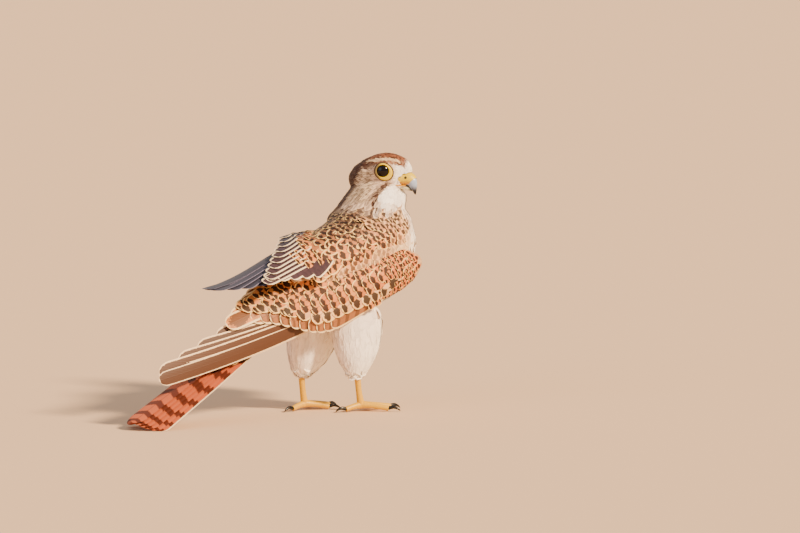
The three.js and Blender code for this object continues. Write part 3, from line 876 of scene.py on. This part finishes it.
def contour_rows(point, normal, length, half, chance, steps, columns, loft):
    """The grid of one feather that follows the skin, its tip off it by loft, or none under a pad."""
    way = lie(point, normal)
    turn = (chance - 0.5) * 0.45
    side = way.cross(normal).normalized()
    way = (way * math.cos(turn) + side * math.sin(turn)).normalized()
    rows = []
    for r in range(steps):
        s = r / (steps - 1)
        aimed = point + way * (length * s)
        base, face_normal, _, _ = skin_tree.find_nearest(aimed)
        if (aimed - base).length > length * 0.3:
            base = base.lerp(aimed, 0.25)
        if face_normal.dot(normal) < 0:
            face_normal = normal
        lean = (normal * 0.4 + face_normal * 0.6).normalized()
        lift = -0.1 + loft * ((0.25 + 0.028 * length) * s ** 0.8 + 0.2 * chance * s)
        for tree in pad_trees:
            over = tree.find_nearest(base + lean * lift)
            depth = 0.3 - (base + lean * lift - over[0]).dot(over[1])
            if depth > 1:
                return None
            if depth > 0:
                base = over[0] + over[1] * 0.3
        middle = base + lean * lift
        across = way.cross(lean).normalized()
        width = half * np.interp(s * 5, range(6), contour_shape)
        row = []
        for c in range(columns):
            u = c / (columns - 1) * 2 - 1
            spot = middle + across * (u * width) - lean * (0.16 * loft * width * u * u)
            row.append(((spot + lean * 0.09) * MM, (spot - lean * 0.05) * MM))
        rows.append(row)
    return rows


zones = ("head", "neck", "back", "breast", "thigh")
coats = {zone: Coat(f"{zone}_feathers", coat_material) for zone in zones}
for point, normal, owner, length, half, chance, shade in scatter_roots(7, 90000):
    if on_bare_skin(point) or hidden_by_wing(point, normal):
        continue
    place = point - trunk_origin
    up = point.z - head_place.z
    ground, marks = plumage(point, normal)
    rim = 0.0
    if up > -20:
        zone, steps, columns = "head", 4, 3
    elif place.z > 145:
        zone, steps, columns = "neck", 5, 3
        rim = 0.5 * marks[1]
    elif place.z < 82 and leg_line_distance(place) < 30:
        zone, steps, columns = "thigh", 5, 3
    elif normal.z > 0.1:
        zone, steps, columns = "back", 6, 5
        rim = 0.9 * max(marks)
    else:
        zone, steps, columns = "breast", 5, 5
        rim = 0.6 * max(marks)
    loft = 0.45 + 0.55 * min(max(marks) * 2, 1)
    length *= 0.85 + 0.3 * shade
    rows = contour_rows(point, normal, length, half, chance, steps, columns, loft)
    if rows:
        coats[zone].add(rows, (*ground, shade), (*marks, rim), root_map_of[owner])
for zone, coat in coats.items():
    coat.build("crown_feathers" if zone in ("head", "neck") else "body_feathers")

# The wings' feathers are stiff horny vanes rooted in the fleshy fore part: barred and rimmed flight
# feathers in tiers on the sheet, three rows of coverts over their roots, and small coverts over the
# whole pad that shrink towards the bend.
covert_material = feather_material("covert", "1e0b04", "fdd488", rim_width=0.2, rim_end=0.08)
flight_material = feather_material("flight_feather", "24130b", "f8dcb4", 7.0, 0.12, 0.02, 0.5)
barred_material = feather_material("barred_feather", "34190d", "fde0ac", 7.0, 0.2, 0.045, 0.5)
# The striped and slate materials dress the lifted left wing: their darker, bluer colours are painted
# shade.
shaded_striped_material = feather_material("shaded_striped_feather", "241a20", "fde6c0", 9.0, 0.26, 0.04, 0.5)
shaded_flight_material = feather_material("shaded_flight_feather", "14131d", "8b8199", 7.0, 0.08, 0.02, 0.45)
flight_brown = np.array(tint("573828"))
# Painted shade: slate and the dark stripe ground are the left wing's colours darkened as its shaded
# side.
painted_shade_slate = np.array(tint("343446"))
painted_shade_stripe = np.array(tint("463037"))
secondary_brown = np.array(tint("a66a40"))


def vane_width(s, length, half):
    """Half the width of a vane along it: narrow at the root, with a round end."""
    body = np.interp(s, [0, 0.25, 0.5, 1], [0.55, 0.88, 1, 1])
    round_from = 1 - 1.25 * half / length
    if s > round_from:
        body *= math.sqrt(max(1 - ((s - round_from) / (1 - round_from)) ** 2, 0.004))
    return half * body


def vane_rows(sheet, root, tip, half, level, slope=0.0, bend=0.0, steps=18, rise=0.0,
              mirrored=False, columns=7):
    """The grid of one stiff feather on a wing or tail sheet, which rises towards its tip."""
    length = math.hypot(tip[0] - root[0], tip[1] - root[1])
    rows = []
    for r in range(steps):
        s = 1 - (1 - r / (steps - 1)) ** 1.5
        l = root[0] + (tip[0] - root[0]) * s
        q = root[1] + (tip[1] - root[1]) * s + bend * 4 * s * (1 - s)
        width = vane_width(s, length, half)
        row = []
        for c in range(columns):
            u = c / (columns - 1) * 2 - 1
            reach_out = u * width
            h = level + rise * s + slope * reach_out - 0.2 * u * u
            row.append((sheet(l, q + reach_out, h) * MM, sheet(l, q + reach_out, h - 0.3) * MM))
        rows.append(row[::-1] if mirrored else row)
    return rows


def sheet_map(l, q):
    """A place on the plain layout of a wing sheet for OFBake."""
    return (0.05 + 0.9 * (l + 10) / 260, 0.5 + q / 130)


rows_from = 40


def trailing_edge(l):
    """The line of the secondaries' tips: level at first, then a rise in a bow to the tertials."""
    return -18.6 + 30 * ramp(95, 160, l)


def wing_surface(l, q):
    """Height over the sheet of the pad, or of the flight feathers behind it."""
    middle, half, centre, rise = pad_section(min(l, pad_to))
    x = (q - middle) / half
    if abs(x) < 1:
        height = centre + rise * math.sqrt(1 - x * x)
    else:
        height = centre - (abs(x) - 1) * half * 0.7
    if l > rows_from and q > trailing_edge(l) - 6:
        height = max(height, -1.1)
    return height


def covert_rows(sheet, root, tip, half, lift, steps, columns, mirrored):
    """The grid of one covert that follows the wing's surface, its tip a little off it."""
    run = Vector((tip[0] - root[0], tip[1] - root[1]))
    aside = Vector((-run.y, run.x)).normalized()
    rows = []
    for r in range(steps):
        s = 1 - (1 - r / (steps - 1)) ** 1.4
        width = vane_width(s, run.length, half)
        row = []
        for c in range(columns):
            u = c / (columns - 1) * 2 - 1
            l = root[0] + run.x * s + aside.x * u * width
            q = root[1] + run.y * s + aside.y * u * width
            h = wing_surface(l, q) - 0.2 + lift * s - 0.16 * width * u * u
            row.append((sheet(l, q, h) * MM, sheet(l, q, h - 0.2) * MM))
        rows.append(row[::-1] if mirrored else row)
    return rows


def covert_sizes(l):
    """Spacing, length and half width of the small coverts at a distance from the bend."""
    share = ramp(-5, 80, l)
    return 3.3 + 2.9 * share, 9.5 + 9.5 * share, 2.9 + 2.4 * share


def upper_limit(l):
    """The inner edge of the coverts."""
    return np.interp(l, [0, 105, 150, 172], [40, 36, 25, 17])


def scatter_coverts(sheet, seed, reach):
    """Seeded places for the small coverts, above the rows of large ones."""
    draw = random.Random(seed)
    spread = Spread(4000)
    kept = []
    for _ in range(24000):
        l, q = draw.uniform(pad_from + 0.5, reach), draw.uniform(-22, 38)
        middle, half, _, _ = pad_section(min(l, pad_to))
        x = (q - middle) / half
        if l > rows_from + 2:
            above_rows = q - trailing_edge(l) > 21
        else:
            above_rows = x > 0.25 * ramp(12, rows_from + 2, l) - 0.98
        if x > 1.15 or x < -1.3 or not above_rows or q > upper_limit(l):
            continue
        spot = np.array(sheet(l, q, wing_surface(l, q)))
        if spread.takes(spot, covert_sizes(l)[0]):
            kept.append((l, q, draw.random(), draw.random()))
    return sorted(kept, key=lambda place: -place[0])


def dress_wing(label, sheet, seed):
    """The left wing is lifted, so it shows fewer of its feathers, in slate and dark striped colours that
    are painted shade: darker, bluer copies of the right wing's.
    """
    draw = random.Random(seed)
    mirrored = label == "left"
    flight = Coat(f"wing_{label}_primaries", shaded_flight_material if mirrored else flight_material)
    # drop is how far a tip stays behind the longest one
    shown_drop = 60 if mirrored else 130
    for i in range(1, 11):
        drop = {9: 0, 10: 14}.get(i, 2 + 19 * (8 - i))
        if drop > shown_drop:
            continue
        root = (12 + 4.2 * (i - 1), -5 - 0.9 * (i - 1))
        tip = (wing_length - drop, -5 if i > 8 else -1.5 + 3 * (8 - i))
        half = 6.0 if i > 8 else 9.2
        level = -7.4 - 0.3 * (i - 5)
        rows = vane_rows(sheet, root, tip, half, level, 0.34, -4, 24, mirrored=mirrored)
        ground = painted_shade_slate if mirrored else flight_brown
        flight.add(rows, (*ground, draw.random()), (0.0, 0.0, 0.0, 1.0), sheet_map(*tip))
    flight.build("wing_feathers")

    inner = Coat(f"wing_{label}_secondaries", shaded_striped_material if mirrored else barred_material)
    secondary_count, tertial_count = 10, 5
    for i in range(secondary_count):
        if mirrored:
            root, tip = (14 + 6 * i, -9 + 3.2 * i), (112 + 8 * i, -16 + 3.4 * i)
            half, level, rise = 5.2, -2.7, 2.2
            ground = blend(painted_shade_slate, painted_shade_stripe, ramp(1, 5, i))
        else:
            l = 90 + 62 * i / (secondary_count - 1)
            root, tip = (14 + 7 * i, -7 + 3 * i), (l, trailing_edge(l))
            half, level, rise = 7.6, -2.4, 0.0
            ground = secondary_brown
        rows = vane_rows(sheet, root, tip, half, level, 0.24, -2, rise=rise, mirrored=mirrored)
        inner.add(rows, (*ground, draw.random()), (0.0, 0.0, 0.55, 1.0), sheet_map(*tip))
    for i in range(tertial_count):
        root, level = (74, 16 + 2.2 * i), -2.0 + 0.2 * i
        if mirrored:
            tip, half, rise = (178 - 12 * i, 13 + 4 * i), 4.4, 1.6
            ground, marks = painted_shade_stripe, (0.0, 0.0, 0.3, 1.0)
        else:
            tip, half, rise = (173 - 7 * i, 13 + 3.6 * i), 7.2, 0.0
            ground, marks = blend(rufous, buff, 0.5), (0.0, 0.8, 0.4, 1.0)
        rows = vane_rows(sheet, root, tip, half, level, 0.1, rise=rise, mirrored=mirrored)
        inner.add(rows, (*ground, draw.random()), marks, sheet_map(*tip))
    inner.build("wing_feathers")

    coverts = Coat(f"wing_{label}_coverts", covert_material)
    rows_reach, scatter_reach = (82, 118) if mirrored else (126, 163)

    def add_covert(rows, ground, shade, wing_shade_share, l, q):
        # The share of painted shade darkens a covert of the left wing towards slate and dims its spots
        # and rim.
        marks = (0.0, 0.95 - wing_shade_share * 0.9, 0.0, 1 - 0.8 * wing_shade_share)
        coverts.add(rows, (*blend(ground, painted_shade_slate, wing_shade_share), shade), marks, sheet_map(l, q))

    covert_tiers = ((6.5, 9.6, 30, 6.2), (12.5, 8.6, 25, 5.6), (18.5, 7.8, 20, 5.0))
    for tier, (above, pitch, length, half) in enumerate(covert_tiers):
        for k in range(int(rows_reach / pitch)):
            l = rows_from + (k + 0.5 * (tier % 2)) * pitch + draw.uniform(-0.8, 0.8)
            q = trailing_edge(l) + above + draw.uniform(-0.8, 0.8)
            if q > upper_limit(l):
                continue
            angle = math.radians(16 + draw.uniform(-4, 4))
            root = (l - length * math.cos(angle), q + length * math.sin(angle))
            rows = covert_rows(sheet, root, (l, q), half, 1.6 + 0.15 * tier, 9, 7, mirrored)
            pale = blend(buff, cream, 0.5) if tier == 0 else buff
            ground = blend(pale, rufous, 0.35 * min(tier, 1) + 0.4 * draw.random())
            wing_shade_share = ramp(-1, -7, q) if mirrored else 0
            add_covert(rows, ground, draw.random(), wing_shade_share, l, q)
    for l, q, chance, shade in scatter_coverts(sheet, seed + 1, scatter_reach):
        _, length, half = covert_sizes(l)
        droop = math.radians(12 + 14 * (chance - 0.5)) + 0.25 * ramp(6, -16, q) * ramp(20, 60, l)
        tip = (l + length * math.cos(droop), q - length * math.sin(droop))
        lift = 0.6 + 0.035 * length + 0.3 * chance
        rows = covert_rows(sheet, (l, q), tip, half, lift, 8, 5, mirrored)
        ground = blend(buff, rufous, 0.3 + 0.4 * shade + 0.3 * ramp(60, 0, l))
        wing_shade_share = ramp(-3, -10, q) * ramp(20, 40, l) if mirrored else 0
        add_covert(rows, ground, shade, wing_shade_share, l, q)
    coverts.build("wing_feathers")


dress_wing("right", sheets["right"], 21)
dress_wing("left", sheets["left"], 31)

# The tail: twelve barred feathers in a narrow fan from the rump, the middle pair on top, with
# long coverts over their roots. The outermost pair has cream rims.
tail_length = 168
roll = math.radians(8)
trunk_left = Vector((0, math.cos(roll), math.sin(roll)))
tail_root = Vector((-58, 1, -30 + trunk_height))
tail_end = Vector((-192, -2, -101 + trunk_height))
tail_along = (tail_end - tail_root).normalized()
tail_left = (trunk_left - tail_along * trunk_left.dot(tail_along)).normalized()
tail_up = tail_left.cross(tail_along)


def tail_sheet(l, q, h):
    run = l * ((tail_end - tail_root).length / tail_length)
    return tail_root + tail_along * run + tail_left * q + tail_up * (h - q * q / 160) + trunk_origin


tail_material = feather_material("tail_feather", "4a1a0e", "fbe0b4", 8.0, 0.14, 0.02, 0.5)
tail_red = np.array(tint("c0603a"))
tail_coat = Coat("tail_feathers", tail_material)
tail_feather_count = 12
draw = random.Random(5)
for i in range(tail_feather_count):
    side = 1 if i % 2 else -1
    rank = i // 2
    tip = (tail_length - 0.25 * rank * rank - 0.5 * rank, side * (1.2 + 2.7 * rank))
    rows = vane_rows(tail_sheet, (16, side * (1 + 1.4 * rank)), tip, 7.2, -0.85 * i, steps=28)
    marks = (0.0, 0.0, 0.9, 1.0 if rank > 4 else 0.0)
    root_map = (0.5 + 0.02 * side * rank, 0.5)
    tail_coat.add(rows, (*tail_red, 0.4 + 0.2 * draw.random()), marks, root_map)
tail_coat.build("tail_feathers", "tail")
tail_coverts = Coat("tail_coverts", coat_material)
for row in range(6):
    for k in range(9):
        q = (k - 4 + 0.5 * (row % 2)) * 3.4 + draw.uniform(-0.5, 0.5)
        l = 70 - 9 * row - 0.9 * abs(k - 4) + draw.uniform(-1, 1)
        level = 1.2 + 0.9 * row - q * q / 40
        rows = vane_rows(tail_sheet, (l - 24, q * 0.85), (l, q), 3.8, level, steps=9)
        # The coverts' ground is partly the rump's painted shadow, mixed with the tail's red.
        ground = blend(rump_painted_shadow, tail_red, 0.35 + 0.3 * draw.random())
        root_map = (0.2 + 0.05 * k, 0.2 + 0.1 * row)
        tail_coverts.add(rows, (*ground, draw.random()), (0.0, 0.5, 0.0, 0.5), root_map)
tail_coverts.build("tail_feathers")

# The eyes are large and nearly black, with a wet surface. Each stands in a ring of bare yellow
# skin that is broad in front and below, narrow above and grey behind, with a dark line round it.
eye_material, eye_tree, eye_shader = new_material("eye")
w = Wiring(eye_tree)
mottled = w.group(mottling_group, {
    "First": (*tint("0e0705"), 1), "Second": (*tint("040202"), 1),
    "Scale": 900.0, "Detail": 3.0, "Amount": 1.0,
})
w.feed(eye_shader.inputs["Base Color"], mottled["Color"])
eye_shader.inputs["Roughness"].default_value = 0.1
eye_shader.inputs["Coat Weight"].default_value = 0.1
eye_shader.inputs["Specular IOR Level"].default_value = 0.25
eye_shader.inputs["Coat Roughness"].default_value = 0.02


grain_group = new_group(
    "skin_grain",
    ("INPUT", "NodeSocketColor", ("Ground",)),
    ("INPUT", "NodeSocketFloat", ("Grain scale",)),
    ("OUTPUT", "NodeSocketColor", ("Color",)),
    ("OUTPUT", "NodeSocketFloat", ("Height",)),
)


def draw_skin_grain():
    """The fine grain of bare skin and horn, as light and dark in the colour and as a height."""
    w = Wiring(grain_group)
    entry, leave = w.ends()
    grain = w.noise(entry["Grain scale"], 3.0)
    w.feed(leave["Color"], w.lit(entry["Ground"], w.line(grain, 0.4, 0.8)))
    w.feed(leave["Height"], grain)


draw_skin_grain()


def tinted_skin(name, grain_scale, roughness):
    """A smooth bare surface in its painted colours, with the fine grain."""
    material, tree, shader = new_material(name)
    w = Wiring(tree)
    grained = w.group(grain_group, {
        "Ground": w.node("ShaderNodeAttribute", attribute_name="Ground").outputs["Color"],
        "Grain scale": grain_scale,
    })
    w.feed(shader.inputs["Base Color"], grained["Color"])
    w.relief(shader, grained["Height"], 0.3, 0.0001)
    shader.inputs["Roughness"].default_value = roughness
    return material


def ring_faces(rings, segments, closed):
    faces = []
    for r in range(rings if closed else rings - 1):
        for k in range(segments):
            beside = (k + 1) % segments
            after = (r + 1) % rings
            near, far = r * segments, after * segments
            faces.append((near + k, near + beside, far + beside, far + k))
    if not closed:
        faces.append(tuple(range(segments))[::-1])
        faces.append(tuple((rings - 1) * segments + k for k in range(segments)))
    return faces


def lathe_piece(name, profile, centre, axis, front, segments, closed, material, colour_of=None):
    """Rings round an axis. profile gives (radius, height) pairs, and colour_of a colour, for a
    direction out from the axis. A closed profile runs back into itself, an open one gets caps."""
    columns, colours = [], []
    for k in range(segments):
        angle = 2 * math.pi * k / segments
        out = front * math.cos(angle) + axis.cross(front) * math.sin(angle)
        columns.append([(centre + out * radius + axis * height) * MM for radius, height in profile(out)])
        if colour_of:
            colours.append((*colour_of(out), 1))
    rings = len(columns[0])
    points = [column[j] for j in range(rings) for column in columns]
    piece = mesh_piece(name, points, ring_faces(rings, segments, closed), material)
    if colours:
        paint_points(piece.data, "Ground", colours * rings)
    return piece


eye_radius = 6.6
eye_opening = 4.55
ball_steps, ball_segments, ring_segments = 24, 40, 64
ring_yellow = np.array(tint("e0c000"))
ring_grey = np.array(tint("5f4f38"))
line_brown = tint("3c2519")
ring_material = tinted_skin("eye_ring_skin", 1500.0, 0.4)
line_material = tinted_skin("eye_line_skin", 1500.0, 0.7)
ball_angles = [math.pi * k / ball_steps for k in range(1, ball_steps)]
ball_profile = [(eye_radius * math.sin(angle), -eye_radius * math.cos(angle)) for angle in ball_angles]
for label, side in (("right", 1), ("left", -1)):
    centre, axis, front = eye_sides[side], eye_axis(side), eye_front(side)
    eye = lathe_piece(f"eyeball_{label}", lambda out: ball_profile, centre, axis, front, ball_segments,
                      False, eye_material)
    place_piece(eye, "eye", f"eye_{label}")

    def ring_profile(out, side=side):
        width = ring_reach(side, out) - eye_opening
        return [(eye_opening, 4.7), (eye_opening + 0.2, 5.15), (eye_opening + 0.3 * width, 5.4),
                (eye_opening + 0.65 * width, 5.15), (eye_opening + 0.9 * width, 4.6),
                (eye_opening + width, 3.9), (eye_opening + width, 2.2), (5.6, 3.0)]

    def ring_colour(out, front=front):
        return blend(ring_yellow, ring_grey, ramp(-0.15, -0.7, out.dot(front)) * 0.85)

    def line_profile(out, side=side):
        inner = ring_reach(side, out) - 0.35
        return [(inner, 3.6), (inner + 0.2, 4.45), (inner + 0.75, 4.1), (inner + 1.05, 3.2),
                (inner + 1.05, 1.8), (inner, 1.8)]

    lid = lathe_piece(f"eye_ring_{label}", ring_profile, centre, axis, front, ring_segments, True,
                      ring_material, ring_colour)
    place_piece(lid, "leg_skin")
    line = lathe_piece(f"eye_line_{label}", line_profile, centre, axis, front, ring_segments, True,
                       line_material, lambda out: line_brown)
    place_piece(line, "crown_feathers")

# The bill is blue-grey horn, dark along its cutting edge and at the hooked tip, over a shorter
# pale lower half. A soft yellow cere with a round nostril on each side wraps its base.
horn_pale = np.array(tint("a3b3d0"))
horn_dark = np.array(tint("1b1a20"))
lower_pale = np.array(tint("cdc6a4"))
cere_yellow = np.array(tint("e0c000"))
cere_orange = np.array(tint("d09000"))
bill_material = tinted_skin("bill_horn", 700.0, 0.28)
cere_material = tinted_skin("cere_skin", 1500.0, 0.4)
bill_left = Vector((0, 1, 0))


def tube_points(stations, rings, sides, left, place, shape=None):
    """Rings of an oval tube through [x, y, z, left, right, top, bottom] stations."""
    def value(index, t):
        return smooth_knots([station[index] for station in stations], t)

    def centre(t):
        return Vector((value(0, t), value(1, t), value(2, t)))

    points = []
    for r in range(rings + 1):
        t = r / rings
        along = (centre(min(t + 0.01, 1)) - centre(max(t - 0.01, 0))).normalized()
        across = (left - along * left.dot(along)).normalized()
        up = along.cross(across)
        for k in range(sides):
            angle = 2 * math.pi * k / sides
            wide = math.cos(angle) * max(value(3 if math.cos(angle) > 0 else 4, t), 0.12)
            high = math.sin(angle) * max(value(5 if math.sin(angle) > 0 else 6, t), 0.12)
            if shape:
                wide, high = shape(t, angle, wide, high)
            points.append(place(centre(t) + across * wide + up * high))
    return points


def tube_piece(name, stations, rings, sides, left, place, material, paint, shape=None):
    points = tube_points(stations, rings, sides, left, place, shape)
    piece = mesh_piece(name, points, ring_faces(rings + 1, sides, False), material)
    paint_points(piece.data, "Ground", [(*paint(point / MM), 1) for point in points])
    return piece


def from_head(point):
    return on_head(point.x, -point.y, point.z) * MM


def ridged(t, angle, wide, high):
    """A keeled top and a small tooth on each cutting edge."""
    keel = 0.10 * max(math.sin(angle), 0) ** 6
    tooth = 0.14 * math.exp(-((t - 0.62) / 0.05) ** 2) * (1 if math.sin(angle) < -0.2 else 0)
    return wide * (1 - 0.15 * max(math.sin(angle), 0) ** 2), high * (1 + keel + tooth)


def upper_paint(point):
    forward, _, up = head_axes(point)
    cutting_edge = ramp(-8.4, -9.8, up) * ramp(20.8, 18.6, forward)
    return blend(horn_pale, horn_dark, max(ramp(-8.5, -14, up), cutting_edge))


def lower_paint(point):
    return blend(lower_pale, horn_dark, ramp(17.5, 20.5, head_axes(point)[0]))


def cere_paint(point):
    return blend(cere_yellow, cere_orange, ramp(-5, -9, head_axes(point)[2]))


upper_stations = [
    [15, 0, -5.4, 4.6, 4.6, 4.6, 4.2],
    [18, 0, -5.6, 4.5, 4.5, 4.6, 5],
    [20.4, 0, -7.6, 3.7, 3.7, 3.9, 5],
    [22, 0, -11.6, 2.3, 2.3, 2.3, 2.8],
    [23.2, 0, -16.6, 0.5, 0.5, 0.5, 0.5],
]
lower_stations = [
    [12, 0, -10.8, 4.4, 4.4, 1.6, 2],
    [17, 0, -12, 3.5, 3.5, 1.6, 1.8],
    [20.6, 0, -13.4, 1.4, 1.4, 0.9, 0.8],
]
cere_stations = [
    [10.5, 0, -5.4, 7.6, 7.6, 4.4, 4.2],
    [14, 0, -5.2, 6.6, 6.6, 5.3, 4.6],
    [17.4, 0, -5.2, 5.6, 5.6, 5.5, 4.7],
    [19.6, 0, -6.3, 4.8, 4.8, 5, 4.5],
    [20.5, 0, -7.1, 4.1, 4.1, 4.4, 4],
]
upper = tube_piece("bill_upper_half", upper_stations, 40, 36, bill_left, from_head, bill_material,
                   upper_paint, ridged)
place_piece(upper, "bill_horn", "bill_upper")
lower = tube_piece("bill_lower_half", lower_stations, 20, 26, bill_left, from_head, bill_material,
                   lower_paint)
place_piece(lower, "bill_horn", "bill_lower")
cere = tube_piece("cere_skin", cere_stations, 26, 44, bill_left, from_head, cere_material, cere_paint)
place_piece(cere, "leg_skin", "cere")
# The nostril's opening is a small disc in painted shade, dark where the hole would be.
nostril_hole_shade = tint("2a1a08")
pit_profile = [(0.35, -0.6), (0.95, -0.5), (1.0, 0.1), (0.75, 0.2), (0.3, 0.12)]
nostril_ahead, nostril_aside, nostril_up = 17.4, 5.45, -3.6
for label, side in (("right", 1), ("left", -1)):
    axis = (head_right * side + head_forward * 0.15 + head_up * 0.3).normalized()
    front = (head_forward - axis * head_forward.dot(axis)).normalized()
    pit_centre = on_head(nostril_ahead, side * nostril_aside, nostril_up)
    pit = lathe_piece(f"nostril_{label}", lambda out: pit_profile, pit_centre, axis, front, 20, False,
                      line_material, lambda out: nostril_hole_shade)
    place_piece(pit, "leg_skin")
    gape_line = [
        [17, -side * 4.4, -9.9, 0.4, 0.4, 0.4, 0.4],
        [13.5, -side * 6.4, -9.6, 0.5, 0.5, 0.5, 0.5],
        [10.5, -side * 8.2, -9.3, 0.3, 0.3, 0.3, 0.3],
    ]
    gape = tube_piece(f"gape_{label}", gape_line, 16, 12, head_up, from_head, cere_material, cere_paint)
    place_piece(gape, "leg_skin")

# The legs below the feathers are bare yellow skin: a tarsus ringed with plates and four toes with a
# plate at every step, each ending in a curved black claw of horn. The toes lie on the floor.
legs = {
    "right": {"ankle": (13, -15.5, 27), "foot": (17, -16, 5), "heading": -8, "side": 1},
    "left": {"ankle": (-15, 17, 27), "foot": (-11, 17.5, 5), "heading": 6, "side": -1},
}
toes = {"middle": (0, 26), "inner": (34, 19), "outer": (-36, 21), "hind": (178, 13)}
toe_radius = 2.3
claw_length = 9
leg_yellow = np.array(tint("d8a600"))
claw_black = np.array(tint("0e0d0d"))
leg_material = tinted_skin("leg_scales", 1200.0, 0.42)
horn_material = tinted_skin("claw_horn", 900.0, 0.25)
leg_left = Vector((0.12, 1, 0.08)).normalized()


def to_world(point):
    return (point + trunk_origin) * MM


def plated(steps):
    def shape(t, angle, wide, high):
        phase = (t * steps) % 1
        swell = 1 + 0.07 * math.sin(math.pi * phase) ** 0.5 * max(math.sin(angle) + 0.3, 0)
        return wide * swell, high * swell
    return shape


def round_stations(points, radii):
    return [[*point, radius, radius, radius, radius] for point, radius in zip(points, radii)]


def leg_piece(name, points, radii, rings, sides, material, colour, shape=None):
    """A round tube through the points, kept over the floor."""
    piece = tube_piece(name, round_stations(points, radii), rings, sides, leg_left, to_world, material,
                       lambda point: colour, shape)
    for vertex in piece.data.vertices:
        vertex.co.z = max(vertex.co.z, floor_gap * MM)
    return piece


for label, leg in legs.items():
    ankle, foot = leg["ankle"], leg["foot"]
    upper_leg = (ankle[0] - 0.2, ankle[1], ankle[2] + 9)
    middle = tuple((a + b) / 2 for a, b in zip(ankle, foot))
    tarsus = leg_piece(f"tarsus_skin_{label}", [upper_leg, middle, foot], [2.6, 2.2, 2.9], 60, 24,
                       leg_material, leg_yellow, plated(14))
    place_piece(tarsus, "leg_skin", f"tarsus_{label}")
    for toe, (turn, length) in toes.items():
        angle = math.radians(leg["heading"] + leg["side"] * turn)

        def reach_out(distance, height):
            return (foot[0] + distance * math.cos(angle), foot[1] + distance * math.sin(angle), height)

        arch = toe_radius + 1.1
        line = [
            reach_out(0, foot[2]), reach_out(length * 0.35, arch + 1),
            reach_out(length * 0.7, arch), reach_out(length, toe_radius),
        ]
        digit = leg_piece(f"toe_{label}_{toe}", line, [2.9, 2.2, 2.0, 1.9], 48, 20,
                          leg_material, leg_yellow, plated(int(length / 2)))
        if toe == "middle":
            place_piece(digit, "leg_skin", f"foot_{label}")
        else:
            place_piece(digit, "leg_skin")
        hook = [
            reach_out(length, toe_radius + 0.3), reach_out(length + claw_length * 0.45, toe_radius + 1),
            reach_out(length + claw_length * 0.85, toe_radius - 0.4),
            reach_out(length + claw_length, 0.35),
        ]
        claw = leg_piece(f"claw_{label}_{toe}_horn", hook, [1.5, 1.2, 0.7, 0.15], 24, 16,
                         horn_material, claw_black)
        place_piece(claw, "claw_horn", f"claw_{label}_{toe}")
